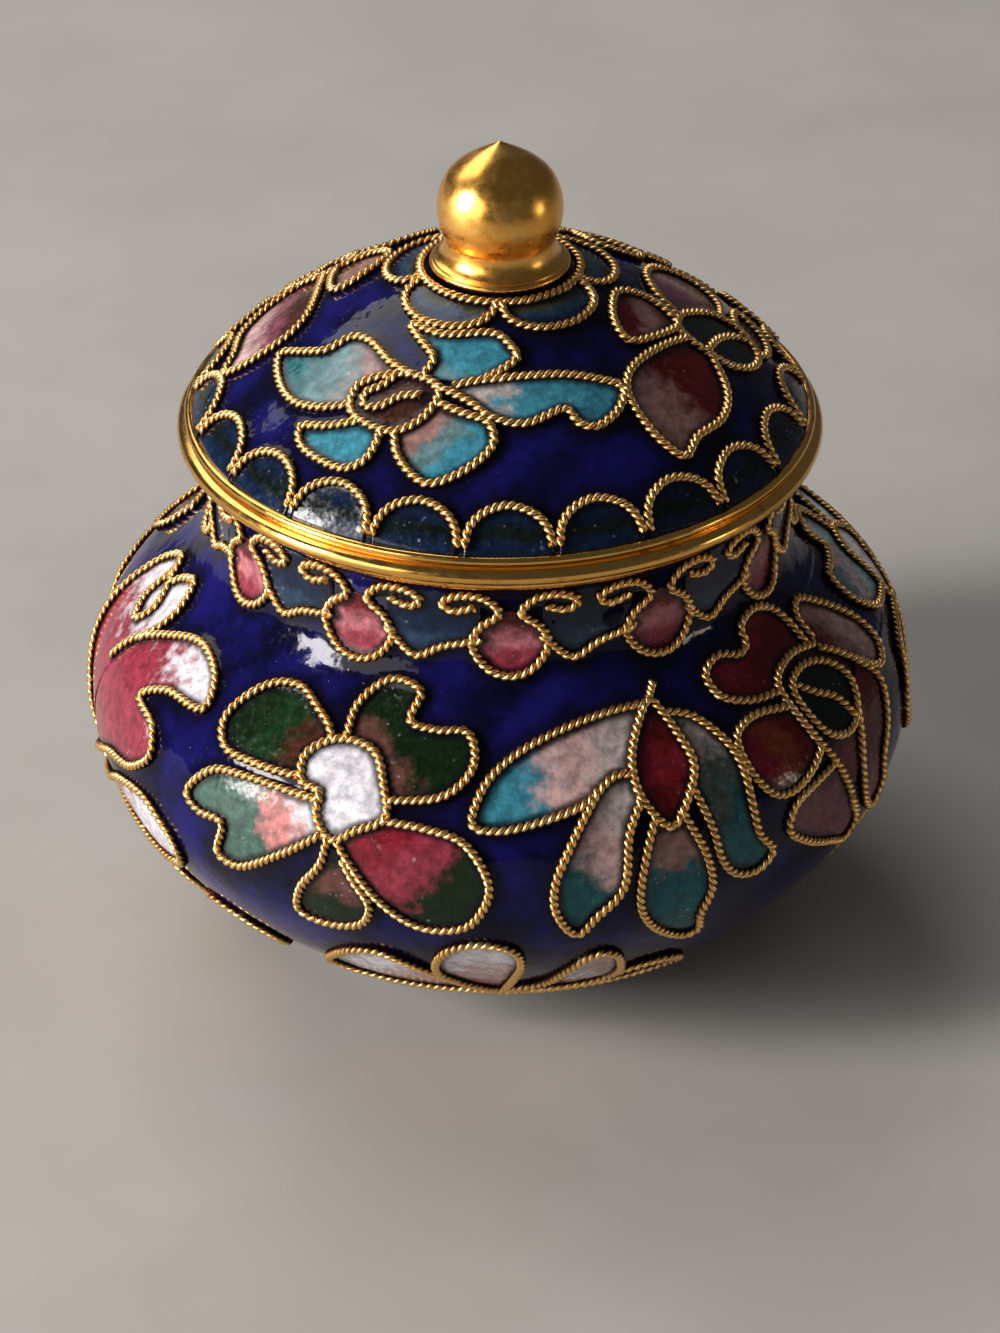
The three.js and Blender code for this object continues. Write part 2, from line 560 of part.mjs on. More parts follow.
function makeCollarWires() {
  const ring = domeSkin.length - COLLAR_RING_INSET;
  const wires = [closedWire(domeSkin, (share) => [share * 360, ring], COLLAR_RING_SIDES)];
  const petalReach = 3.0;
  for (let i = 0; i < COLLAR_PETAL_COUNT; i += 1) {
    const bearing = COLLAR_PETAL_BEARING + (360 / COLLAR_PETAL_COUNT) * i;
    const path = (share) => {
      const turn = Math.PI * share;
      const spread = 34 - 6 * Math.sin(turn);
      return [bearing - spread * Math.cos(turn), ring - petalReach * Math.sin(turn) ** 0.6];
    };
    wires.push(openWire(domeSkin, path, 5));
  }
  return mesh('wire_collar_band', fuse(wires), giltWire);
}

// ---- the pot ------------------------------------------------------------------------------------
const pot = new THREE.Group();
pot.add(
  makeVessel(),
  makeFootRing(),
  makeMouthRim(),
  makeLid(),
  makeLidRim(),
  makeFinial(),
  ...flowers.map(makeFlower),
  makeNeckWires(),
  makeScallopWires(),
  makeCollarWires(),
);

export default pot;
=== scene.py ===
"""Cloisonne enamel pot with a lid: enamelled copper, twisted gilt wire, gilt rims and ball finial.

Drawings are in millimetres and bearings in degrees; the model itself is in metres.
A bearing is 0 at the front (-Y) and grows towards +X.
A distance is measured up a surface's outline.
"""

import math
import random

import bmesh
import bpy
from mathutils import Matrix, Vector, kdtree, noise
from mathutils.geometry import tessellate_polygon


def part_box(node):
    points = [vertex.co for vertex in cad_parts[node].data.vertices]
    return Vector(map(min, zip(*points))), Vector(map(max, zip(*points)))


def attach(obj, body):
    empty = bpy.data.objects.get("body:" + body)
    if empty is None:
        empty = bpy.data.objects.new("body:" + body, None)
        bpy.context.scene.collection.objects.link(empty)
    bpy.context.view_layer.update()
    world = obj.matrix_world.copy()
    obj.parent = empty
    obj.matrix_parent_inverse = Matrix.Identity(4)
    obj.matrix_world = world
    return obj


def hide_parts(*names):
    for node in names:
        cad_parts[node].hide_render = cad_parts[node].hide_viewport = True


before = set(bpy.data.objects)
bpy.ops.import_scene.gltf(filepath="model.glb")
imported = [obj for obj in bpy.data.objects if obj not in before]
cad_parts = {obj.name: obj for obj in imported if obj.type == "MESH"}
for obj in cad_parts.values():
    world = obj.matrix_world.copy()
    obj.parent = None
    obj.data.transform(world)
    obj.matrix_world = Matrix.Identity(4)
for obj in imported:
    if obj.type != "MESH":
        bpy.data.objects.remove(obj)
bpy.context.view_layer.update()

# ---- sizes: some read from the imported model, the rest given here ----
VESSEL_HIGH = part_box("vessel")[1]
MM = VESSEL_HIGH.x / 32.0  # the belly is drawn with a radius of 32

BELLY_RADIUS, BELLY_HEIGHT = 32.0, 18.5
LOWER_DEPTH, LOWER_POWER = 22.0, 1.7
UPPER_RISE, UPPER_POWER = 14.5, 2.6
BASE_RADIUS, SHOULDER_RADIUS, NECK_RADIUS = 17.5, 27.9, 22.0
DRAWING_RADIUS = 19.8  # distances up the vessel are measured from this circle, low on the belly
NECK_TOP = VESSEL_HIGH.z / MM
WALL = 1.5

DOME_BASE, DOME_RADIUS, DOME_RISE, DOME_POWER = 42.55, 23.72, 13.65, 1.38
DOME_EDGE_RADIUS, DOME_FLAT_RADIUS = 23.3, 5.6
FLANGE_RADIUS, FLANGE_THICK = 20.0, 1.1
FLANGE_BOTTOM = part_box("lid")[0].z / MM
RIM_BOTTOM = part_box("lid_rim")[0].z / MM
FOOT_RADIUS, FOOT_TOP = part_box("foot_ring")[1].x / MM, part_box("foot_ring")[1].z / MM
FOOT_WIDTH = 1.8
MOUTH_BOTTOM, MOUTH_TOP = (corner.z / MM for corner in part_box("mouth_rim"))
LOWER_BEAD_RADIUS, LOWER_BEAD = 23.98, 0.62
UPPER_BEAD_RADIUS, UPPER_BEAD_HEIGHT, UPPER_BEAD = 23.66, 43.13, 0.34
FINIAL_SEAT, FINIAL_TIP = (corner.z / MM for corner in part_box("finial"))
SEAT_RADIUS, SEAT_ROLL = 5.02, 0.27  # the finial's rolled edge
SKIRT_TOP_RADIUS, SKIRT_TOP = 4.12, 2.3
BALL_RADIUS, BALL_HEIGHT = 4.73, 59.8
CROWN_START = 32  # degrees up the ball at which it begins to draw to a point

STRAND = 0.20  # radius of one of the two strands of the wire, and of their turn round each other
WIRE_CENTRE = 0.19  # height of the wire's centre above the enamel
TWIST_PITCH = 1.25  # length of one whole turn of a strand
TWIST_STEPS = 7  # points in one turn
CREST_LOW, CREST_SPAN = 0.05, 0.45  # the wire's worn top begins this high, and is this deep; below it the twist is painted in shade
WIRE_SPACING, CELL_SPACING = 0.2, 0.45  # between the points of a drawn wire and of a cell's outline
MENISCUS_RISE, MENISCUS_REACH = 0.11, 1.1  # enamel climbs this high at a wire, over this width
ENAMEL_WAVES = ((0.22, 0.05), (0.7, 0.018))  # waves to a millimetre and height of each swell
ENAMEL_SINK = 0.06  # painted shade darkens the enamel this close to a wire
WIRE_SHADE_REACH = 2.4  # enamel may look darker this close to a wire
CELL_LIFT, CELL_DEPTH = 0.07, 0.12  # a cell's slab stands over the ground, and is this thick
CELL_LAYER, CELL_LAYERS = 0.012, 9  # neighbouring slabs lie this much over each other, in turn
CELL_GRID = 0.6  # the slabs are cut this fine, to follow the skin
ROUND, RIM_ROUND = 360, 192  # sides of the enamelled bodies and of the smaller rims
FINE, COARSE = 12, 3  # detail of the outlines outside and inside

TINTS = ("root", "middle", "tip")  # the colours a cell runs through

chance = random.Random(7)


# ---- outlines and skins ----
def superellipse(radius, centre, rise, power, start, end, count):
    """Points (r, z) of a quarter curve, from its side at angle 0 towards its pole."""
    points = []
    for i in range(count + 1):
        a = start + (end - start) * i / count
        across, up = math.cos(a) ** (2 / power), math.sin(a) ** (2 / power)
        points.append((radius * across, centre + rise * up))
    return points


def angle_at_radius(radius, narrowed, power):
    return math.acos((narrowed / radius) ** (power / 2))


def bezier(a, b, c, d, count):
    points = []
    for i in range(1, count + 1):
        t = i / count
        u = 1 - t
        shares = (u ** 3, 3 * u * u * t, 3 * u * t * t, t ** 3)
        points.append(tuple(
            sum(share * knot[k] for share, knot in zip(shares, (a, b, c, d))) for k in (0, 1)))
    return points


def vessel_outline(detail, start):
    """Outer side of the vessel, from a circle under the belly up to the top of its neck."""
    low = angle_at_radius(BELLY_RADIUS, start, LOWER_POWER)
    high = angle_at_radius(BELLY_RADIUS, SHOULDER_RADIUS, UPPER_POWER)
    belly = superellipse(BELLY_RADIUS, BELLY_HEIGHT, -LOWER_DEPTH, LOWER_POWER, low, 0, 6 * detail)
    shoulder = (BELLY_RADIUS, BELLY_HEIGHT, UPPER_RISE, UPPER_POWER)
    upper = superellipse(*shoulder, 0, high, 4 * detail)
    before = superellipse(*shoulder, high - 0.01, high, 1)[0]
    end = upper[-1]
    steepness = (end[1] - before[1]) / (end[0] - before[0])
    run = NECK_RADIUS - end[0]
    corner_z = end[1] + steepness * run
    near = (end[0] + 0.6 * run, end[1] + 0.6 * steepness * run)
    hollow = bezier(end, near, (NECK_RADIUS, corner_z), (NECK_RADIUS, corner_z + 3.0), 4 * detail)
    return belly + upper[1:] + hollow + [(NECK_RADIUS, NECK_TOP)]


def dome_outline(detail, edge):
    """Outer side of the lid's dome, from its edge to the finial's flat seat."""
    low = angle_at_radius(DOME_RADIUS, edge, DOME_POWER)
    high = angle_at_radius(DOME_RADIUS, DOME_FLAT_RADIUS, DOME_POWER)
    return superellipse(DOME_RADIUS, DOME_BASE, DOME_RISE, DOME_POWER, low, high, 6 * detail)


def inside_of(outline, thickness):
    moved = []
    for i, (r, z) in enumerate(outline):
        r0, z0 = outline[max(i - 1, 0)]
        r1, z1 = outline[min(i + 1, len(outline) - 1)]
        run = math.hypot(r1 - r0, z1 - z0)
        moved.append((r - (z1 - z0) / run * thickness, z + (r1 - r0) / run * thickness))
    return moved


class Skin:
    """Turns a distance up an outline, a bearing and a height above the surface into a point."""

    def __init__(self, outline):
        self.outline = outline
        self.reach = [0.0]
        for (r0, z0), (r1, z1) in zip(outline, outline[1:]):
            self.reach.append(self.reach[-1] + math.hypot(r1 - r0, z1 - z0))
        self.length = self.reach[-1]
        self.hint = 1

    def at(self, distance):
        d = min(max(distance, 0.001), self.length - 0.001)
        i = self.hint
        while self.reach[i] <= d:
            i += 1
        while self.reach[i - 1] > d:
            i -= 1
        self.hint = i
        (r0, z0), (r1, z1) = self.outline[i - 1], self.outline[i]
        run = self.reach[i] - self.reach[i - 1]
        share = (d - self.reach[i - 1]) / run
        return r0 + (r1 - r0) * share, z0 + (z1 - z0) * share, (z1 - z0) / run, -(r1 - r0) / run

    def place(self, bearing, distance, height=0.0):
        """(point in metres, outward unit vector)."""
        r, z, out_r, out_z = self.at(distance)
        a = math.radians(bearing)
        round_ = Vector((math.sin(a), -math.cos(a), 0))
        normal = round_ * out_r + Vector((0, 0, out_z))
        base = round_ * r + Vector((0, 0, z))
        return (base + normal * height) * MM, normal

    def drawn(self, bearing, distance, x, y):
        """A drawing's point, x across and y up from its anchor, as a bearing and a distance."""
        reach = distance + y
        return bearing + math.degrees(x / self.at(reach)[0]), reach


vessel_skin = Skin(vessel_outline(FINE, DRAWING_RADIUS))
dome_skin = Skin(dome_outline(FINE, DOME_RADIUS))


# ---- drawings ----
# A flower's heart is a closed wire; a petal's wire starts and ends on the heart or a neighbour.
# "strays" are the wires that close no cell, and "throat" is an enamel round the heart without a
# wire of its own. "roots" gives, by number, the petals that reach further in than their wire.
DOG_ROSE = {
    "heart": [(-3.6, 1.3), (-4.0, 3.2), (-1.9, 5.1), (1.0, 4.9), (2.6, 2.4), (3.3, 0.1),
              (1.2, -1.2), (-0.4, -2.2), (-1.9, -0.8), (-2.1, 1.0)],
    "petals": [
        [(-4.0, 1.6), (-8.0, 1.4), (-11.0, 1.6), (-11.8, 3.2), (-10.4, 5.8), (-8.0, 7.7),
         (-5.9, 8.0), (-4.3, 7.0), (-2.9, 5.9), (-2.3, 4.9)],
        [(-1.3, 5.3), (-1.2, 8.1), (0.9, 10.5), (3.2, 9.9), (3.0, 7.6), (5.2, 7.1), (7.4, 7.1),
         (8.6, 4.4), (7.4, 2.3), (3.0, 1.3)],
        [(-2.1, 0.4), (-8.2, 0.3), (-11.6, -0.4), (-13.8, -3.0), (-12.4, -3.8), (-10.0, -3.8),
         (-10.4, -6.5), (-8.6, -6.9), (-4.8, -4.6), (-1.3, -2.0)],
        [(3.1, -0.1), (6.4, -0.3), (9.4, -1.2), (11.5, -4.6), (9.9, -7.9), (6.8, -8.5), (3.6, -6.6),
         (0.8, -3.4), (-0.1, -2.2)],
        [(-0.8, -2.2), (-1.2, -4.2), (-2.9, -6.8), (-3.2, -9.2), (-1.0, -9.9), (1.8, -9.0),
         (2.6, -7.0), (1.5, -5.2), (0.5, -3.6)],
    ],
}

IRIS = {
    "heart": [(4.0, 8.3), (2.4, 6.2), (1.4, 3.4), (1.7, 1.0), (3.6, -1.3), (5.3, 0.6), (6.2, 2.7),
              (5.6, 5.0), (4.7, 7.2)],
    "petals": [
        [(3.6, 8.1), (0.5, 8.0), (-3.2, 7.1), (-7.0, 5.3), (-9.8, 2.8), (-11.0, 0.1), (-9.2, -0.2),
         (-5.6, 0.5), (-2.6, 1.4), (0.0, 3.1), (1.5, 3.0)],
        [(-1.5, 2.2), (-3.1, 0.1), (-4.3, -1.8), (-5.4, -4.2), (-5.4, -6.7), (-3.6, -9.2),
         (-2.4, -7.6), (-0.4, -5.4), (0.3, -1.2), (1.5, 1.0)],
        [(2.4, -0.3), (1.6, -2.4), (1.0, -5.2), (1.1, -7.6), (2.8, -10.4), (5.4, -12.3),
         (6.3, -11.9), (6.1, -9.8), (6.8, -7.0), (6.2, -4.0), (5.0, -1.4), (4.5, -0.3)],
        [(4.8, 7.1), (6.8, 6.3), (8.8, 4.2), (10.1, 1.6), (10.5, -1.6), (11.0, -4.0), (12.3, -5.9),
         (10.9, -7.0), (8.9, -6.6), (7.6, -5.0), (6.9, -2.4), (5.7, 1.0)],
    ],
    "strays": [[(3.9, 8.2), (4.3, 8.9), (4.6, 9.5)]],
    "roots": {1: [(1.5, 3.0), (0.0, 3.1)]},
}

PEONY = {
    "heart": [(0.2, 1.6), (2.4, 2.4), (4.9, 1.4), (6.2, -0.8), (4.9, -3.0), (3.0, -3.7),
              (0.8, -2.8), (-0.1, -0.8)],
    "petals": [
        [(4.6, 3.3), (4.4, 5.6), (3.4, 7.3), (1.4, 8.2), (-0.5, 7.6), (-0.9, 6.3), (-2.0, 5.9),
         (-3.8, 6.6), (-5.7, 5.7), (-5.8, 3.7), (-3.8, 2.4), (-1.0, 1.9)],
        [(5.6, 3.1), (5.7, 5.4), (6.9, 6.1), (9.6, 4.2), (12.3, 1.0), (12.8, -1.6), (11.2, -2.4),
         (8.4, -0.4), (6.9, 1.2), (5.3, 2.6)],
        [(-1.2, 0.6), (-4.6, 1.3), (-7.0, 0.4), (-7.6, -2.4), (-6.4, -4.6), (-4.6, -5.0),
         (-2.2, -4.3), (-0.5, -3.2)],
        [(0.4, -4.9), (-2.4, -5.4), (-4.8, -6.2), (-5.6, -7.8), (-3.6, -9.7), (-0.4, -11.4),
         (2.2, -12.6), (3.1, -11.4), (2.0, -8.6)],
        [(5.4, -2.4), (4.4, -4.4), (3.8, -7.0), (4.4, -10.2), (6.6, -12.0), (7.6, -10.3),
         (7.5, -8.0), (9.0, -5.4), (9.9, -2.8), (8.3, -0.4)],
    ],
    "strays": [
        [(5.4, 2.9), (2.2, 3.6), (-0.6, 2.6), (-1.1, 0.2), (-0.6, -2.6), (0.6, -5.2), (2.0, -8.4)],
        [(0.5, 1.7), (1.9, 0.2), (3.4, -1.0), (4.5, -3.2)],
    ],
    "throat": [(5.4, 2.9), (2.2, 3.6), (-0.6, 2.6), (-1.1, 0.2), (-0.6, -2.6), (0.6, -5.2),
               (2.0, -8.4), (3.8, -7.0), (4.4, -4.4), (6.2, -2.0), (7.6, 0.4), (6.4, 2.0)],
}

BLOWN_ROSE = {
    "heart": [(-11.2, -9.8), (-10.4, -11.2), (-11.8, -12.4), (-13.4, -11.4), (-13.2, -9.8)],
    "petals": [
        [(-11.3, -9.7), (-7.5, -7.6), (-3.5, -5.6), (0.8, -4.5), (3.3, -2.2), (2.2, -0.3),
         (-0.9, 0.6), (1.4, 2.4), (5.8, 3.1), (4.2, 5.6), (0.6, 6.8), (-3.4, 5.0), (-6.2, 2.8),
         (-8.0, 0.1)],
        [(-5.9, 3.0), (-4.8, 5.0), (-4.5, 7.0), (-5.6, 9.0), (-7.4, 8.2), (-8.8, 6.9), (-10.4, 8.3),
         (-13.2, 6.4), (-15.2, 2.0), (-15.4, -4.0), (-12.8, -9.7)],
        [(-10.5, -11.0), (-5.5, -9.1), (-1.6, -6.9), (3.2, -6.1), (6.4, -8.2), (6.0, -10.8),
         (2.8, -12.2), (-2.0, -12.4), (-7.0, -12.2), (-11.2, -12.1)],
        [(-13.3, -10.6), (-16.0, -9.4), (-19.0, -6.8), (-20.4, -8.8), (-19.4, -11.4),
         (-16.2, -12.3), (-12.9, -11.8)],
    ],
    "strays": [[(-8.9, 7.2), (-7.5, 5.0), (-8.6, 3.2), (-10.2, 4.6), (-9.6, 7.8)]],
}

LID_ROSE = {
    "heart": [(-3.6, -0.2), (-2.2, 1.3), (0.2, 2.3), (2.6, 1.6), (2.7, -0.8), (1.2, -2.5),
              (-1.2, -2.6), (-3.2, -1.9)],
    "petals": [
        [(0.0, 2.3), (-2.0, 2.7), (-4.6, 3.5), (-6.6, 3.0), (-8.4, 0.9), (-11.0, -0.6),
         (-13.6, -2.2), (-11.5, -3.2), (-8.6, -3.6), (-5.6, -2.8), (-3.3, -1.6)],
        [(-1.8, -2.5), (-4.4, -3.9), (-6.6, -4.9), (-6.0, -5.9), (-3.6, -6.4), (-1.2, -6.3),
         (0.0, -5.1), (0.1, -2.6)],
        [(1.0, -2.5), (2.0, -4.2), (4.0, -5.7), (5.3, -6.1), (7.4, -4.8), (8.5, -2.8), (7.4, -0.9),
         (5.2, -0.2), (2.8, 0.5)],
        [(1.9, 1.9), (5.0, 0.9), (7.6, -0.5), (10.2, -1.0), (12.6, -0.1), (14.2, -1.4),
         (16.0, -2.0), (17.4, -1.1), (17.4, 0.2), (14.8, 1.6), (11.0, 2.8), (7.6, 3.0), (5.0, 2.6),
         (3.5, 2.0)],
        [(0.9, 2.3), (1.0, 4.0), (-0.6, 5.2), (-2.3, 6.3), (0.6, 6.3), (4.0, 7.0), (5.8, 5.9),
         (6.9, 4.6), (6.3, 3.7), (5.4, 2.8)],
    ],
    "strays": [[(1.6, 0.8), (0.2, 0.3), (-1.0, -1.0), (-2.2, -1.3), (-2.6, -0.4), (-1.6, 0.7),
                (-0.9, 2.0)]],
}

LID_PEONY = {
    "heart": [(3.7, 2.5), (5.2, 2.8), (7.6, 1.6), (10.2, -0.6), (11.0, -2.6), (9.6, -4.2),
              (7.2, -4.0), (4.8, -2.4), (3.7, 0.0)],
    "petals": [
        [(3.6, 1.6), (1.2, 2.5), (-1.5, 2.9), (-4.0, 2.4), (-5.7, 1.0), (-6.7, -1.2), (-7.0, -3.8),
         (-6.4, -5.3), (-4.2, -4.4), (-1.0, -4.3), (1.6, -3.2), (3.8, -0.6)],
        [(3.6, 2.7), (0.8, 3.6), (-1.4, 4.6), (-0.9, 6.2), (0.6, 7.5), (2.4, 7.9), (4.1, 6.6),
         (4.9, 4.6), (4.4, 2.8)],
        [(5.2, 2.9), (6.4, 4.8), (8.4, 5.2), (12.0, 3.8), (15.0, 1.4), (16.0, -1.0), (14.2, -1.6),
         (10.5, -1.0)],
        [(10.9, -2.4), (13.5, -2.7), (15.4, -3.8), (14.4, -5.2), (11.2, -5.3), (9.2, -4.1)],
    ],
    "strays": [[(3.8, -0.1), (6.4, -0.6), (9.2, -2.2), (10.4, -3.6)]],
}

LOTUS = {
    "heart": [(-1.5, -1.0), (0.0, 0.2), (1.5, -0.9), (0.9, -2.6), (-0.9, -2.6)],
    "petals": [
        [(-0.9, -0.4), (-3.6, 2.8), (-5.3, 5.2), (-5.5, 7.7), (-4.6, 9.8), (-2.9, 10.8),
         (-1.0, 10.7), (0.3, 9.8), (0.8, 7.6), (0.4, 5.0), (-0.1, 2.0), (-0.3, -0.1)],
        [(-3.8, 3.1), (-6.1, 5.4), (-7.8, 6.9), (-9.8, 8.1), (-12.1, 7.3), (-13.6, 5.1),
         (-14.1, 2.5), (-12.3, 0.4), (-8.0, -1.2), (-4.0, -1.4), (-1.3, -1.0)],
        [(0.2, 0.1), (2.5, 2.2), (4.0, 5.2), (5.6, 7.7), (6.8, 8.6), (7.9, 7.9), (8.4, 6.0),
         (8.1, 2.6), (6.4, 0.4), (3.4, -0.6), (1.3, -0.8)],
        [(8.2, 3.0), (9.4, 3.6), (10.9, 4.0), (12.8, 3.6), (13.6, 1.8), (12.0, -0.6), (7.4, -2.2),
         (3.6, -2.4), (1.2, -2.0)],
    ],
}

# Bands repeat one drawing. x is across and y the distance up the outline.
DROP_COUNT, DROP_BEARING = 12, 2
DROP_HALF = [(-2.6, 44.1), (-4.2, 43.7), (-5.0, 44.3), (-3.8, 45.0), (-1.8, 44.8), (-0.8, 43.6),
             (-2.2, 42.4), (-2.8, 40.9), (-1.7, 39.0), (0.0, 38.4)]
CURL_POINTS = 6  # the first points of a drop's half are its curl
LAPPET_EDGE = [(2.3, 41.6), (4.6, 39.6), (6.6, 40.6), (9.4, 41.3)]
LAPPET_TOP = [9.3, 6.0, 2.4]  # across, where the lappet meets the mouth rim
DROP_MIDDLE = Vector((0, 42.5))
SCALLOP_COUNT, SCALLOP_BEARING = 21, -15.6
SCALLOP_HALF = [(-3.2, 1.5), (-2.8, 2.9), (-1.8, 4.0), (0.0, 4.6)]
SCALLOP_FOOT, SCALLOP_MIDDLE = (3.3, 0.7), Vector((0, 2))
COLLAR_PETAL_COUNT, COLLAR_PETAL_BEARING = 5, -37
COLLAR_RING = dome_skin.length - 0.35
COLLAR_PETAL_REACH, COLLAR_PETAL_STEPS = 3.0, 60
COLLAR_PETAL_SPREAD, COLLAR_PETAL_NARROWING = 34, 6  # half its width in degrees, less at its tip

# ---- enamel colours ----
SNOW = (0.72, 0.69, 0.76)
PEARL = (0.50, 0.42, 0.41)
BLUSH = (0.56, 0.36, 0.35)
SHELL = (0.46, 0.15, 0.18)
SALMON = (0.58, 0.22, 0.21)
ROSE = (0.26, 0.032, 0.055)
CRIMSON = (0.19, 0.010, 0.020)
GARNET = (0.12, 0.006, 0.006)
RUST = (0.20, 0.040, 0.014)
MAUVE = (0.20, 0.060, 0.085)
PLUM = (0.09, 0.016, 0.024)
CHESTNUT = (0.055, 0.018, 0.010)
DUSTY = (0.32, 0.17, 0.15)
UMBER = (0.11, 0.045, 0.036)
OLIVE = (0.045, 0.045, 0.020)
PINE = (0.005, 0.016, 0.004)
FOREST = (0.006, 0.028, 0.007)
JADE = (0.065, 0.130, 0.105)
SAGE = (0.070, 0.100, 0.090)
INK = (0.004, 0.008, 0.006)
SKY = (0.20, 0.46, 0.56)
TURQUOISE = (0.045, 0.23, 0.32)
TEAL = (0.008, 0.105, 0.125)
MIST = (0.12, 0.22, 0.24)
STEEL = (0.005, 0.014, 0.042)
SLATE = (0.018, 0.042, 0.085)
# painted shade for the enamel beside the wires
PAINTED_WIRE_SHADE = (0.003, 0.002, 0.006)
SPECK = (0.02, 0.018, 0.03)
FROST = (0.55, 0.55, 0.58)
DEEP_COBALT, CLEAR_COBALT = (0.002, 0.002, 0.015), (0.007, 0.006, 0.090)
GRAINY_COBALT, COBALT_DUST = (0.006, 0.006, 0.03), (0.20, 0.22, 0.38)
THIN_BLUE, THICK_BLUE, BLUE_PIT = (0.015, 0.09, 0.20), (0.03, 0.19, 0.34), (0.01, 0.02, 0.05)

# ---- gilding ----
# the first colour is painted shade down in the wire's twist, the second its worn crest
WIRE_HOLLOW_SHADE, WIRE_CREST = (0.06, 0.018, 0.005), (0.93, 0.57, 0.21)
WIRE_RUBBED = (0.90, 0.70, 0.40)
RIM_BRIGHT, RIM_TARNISH = (0.84, 0.46, 0.11), (0.42, 0.16, 0.035)
BALL_WARM, BALL_PALE = (0.90, 0.44, 0.085), (0.95, 0.55, 0.15)
BALL_TARNISH = (0.42, 0.18, 0.035)

# ---- colours of the cells ----
# Root, middle and tip of each cell: the heart first, then the petals in their order.
# A fourth value turns the run of the colours to that angle; without it, or with None, they run
# outwards from the heart. A fifth holds the run back by that share of the cell.
RED_AND_GREEN = [
    (SNOW, SNOW, SNOW), (CHESTNUT, FOREST, PINE), (UMBER, PINE, PINE),
    (SNOW, SALMON, JADE, None, -0.18), (CRIMSON, ROSE, PINE), (PINE, UMBER, PINE)]
SEA_AND_BLUSH = [
    (GARNET, CRIMSON, GARNET), (PEARL, BLUSH, TURQUOISE), (PEARL, BLUSH, TEAL), (DUSTY, TEAL, TEAL),
    (PEARL, SAGE, TEAL)]
DEEP_RED = [
    (INK, INK, INK), (GARNET, GARNET, CRIMSON), (CRIMSON, DUSTY, BLUSH), (GARNET, RUST, CRIMSON),
    (PLUM, MAUVE, MAUVE), (GARNET, PLUM, MAUVE)]
PALE_SEA = [
    (SNOW, SNOW, SNOW), (SNOW, SKY, TURQUOISE), (SKY, PEARL, MIST), (TURQUOISE, SKY, SNOW),
    (SKY, MIST, TEAL), (SNOW, SKY, SKY)]
ROSE_AND_SNOW = [
    (OLIVE, OLIVE, OLIVE), (ROSE, ROSE, SNOW, None, 0.22), (ROSE, ROSE, SNOW, None, 0.08),
    (CHESTNUT, DUSTY, SNOW), (ROSE, SHELL, SNOW)]
BRIGHT_SEA = [
    (CHESTNUT, CHESTNUT, CHESTNUT), (DUSTY, MIST, TEAL), (TURQUOISE, TURQUOISE, TURQUOISE),
    (DUSTY, MIST, TURQUOISE), (PEARL, TURQUOISE, TURQUOISE), (MIST, TURQUOISE, TURQUOISE)]
BROWN_PINK = [
    (INK, INK, INK), (GARNET, GARNET, DUSTY, None, -0.05), (UMBER, DUSTY, GARNET),
    (UMBER, MAUVE, DUSTY), (DUSTY, UMBER, CHESTNUT)]
DUSK_PINK = [
    (INK, INK, INK), (CHESTNUT, MAUVE, BLUSH, -90), (UMBER, DUSTY, DUSTY), (UMBER, MAUVE, DUSTY),
    (DUSTY, UMBER, CHESTNUT)]
LOTUS_WHITE = [
    (OLIVE, OLIVE, OLIVE), (SHELL, BLUSH, SNOW), (SHELL, BLUSH, SNOW), (SHELL, SNOW, BLUSH),
    (SHELL, BLUSH, SNOW)]

# Name, skin, motif, colours, bearing and distance of its anchor, -1 if mirrored, and size.
FLOWERS = [
    ("rose_front", vessel_skin, DOG_ROSE, RED_AND_GREEN, -22, 27),
    ("iris_front", vessel_skin, IRIS, SEA_AND_BLUSH, 17, 27),
    ("peony_right", vessel_skin, PEONY, DEEP_RED, 52, 30),
    ("rose_right", vessel_skin, DOG_ROSE, PALE_SEA, 100, 27, -1),
    ("iris_back", vessel_skin, IRIS, SEA_AND_BLUSH, 145, 27, -1),
    ("peony_back", vessel_skin, PEONY, DEEP_RED, 182, 30),
    ("rose_back", vessel_skin, DOG_ROSE, RED_AND_GREEN, 235, 27),
    ("blown_rose_left", vessel_skin, BLOWN_ROSE, ROSE_AND_SNOW, -62, 27),
    ("lotus_front", vessel_skin, LOTUS, LOTUS_WHITE, 1.5, 6),
    ("lotus_right", vessel_skin, LOTUS, LOTUS_WHITE, 96, 6),
    ("lotus_back", vessel_skin, LOTUS, LOTUS_WHITE, 181.5, 6),
    ("lotus_left", vessel_skin, LOTUS, LOTUS_WHITE, -67, 4.6, -1, 0.8),
    ("lid_rose_front", dome_skin, LID_ROSE, BRIGHT_SEA, -30, 12),
    ("lid_peony_right", dome_skin, LID_PEONY, BROWN_PINK, 60, 11),
    ("lid_peony_left", dome_skin, LID_PEONY, DUSK_PINK, -104, 10.2, -1),
    ("lid_rose_back", dome_skin, DOG_ROSE, PALE_SEA, 160, 12, 1, 0.65),
]


# ---- drawing tools ----
def mirrored(half):
    """A drawing's half and its mirror image, joined at the middle."""
    return half + [(-x, y) for x, y in reversed(half[:-1])]


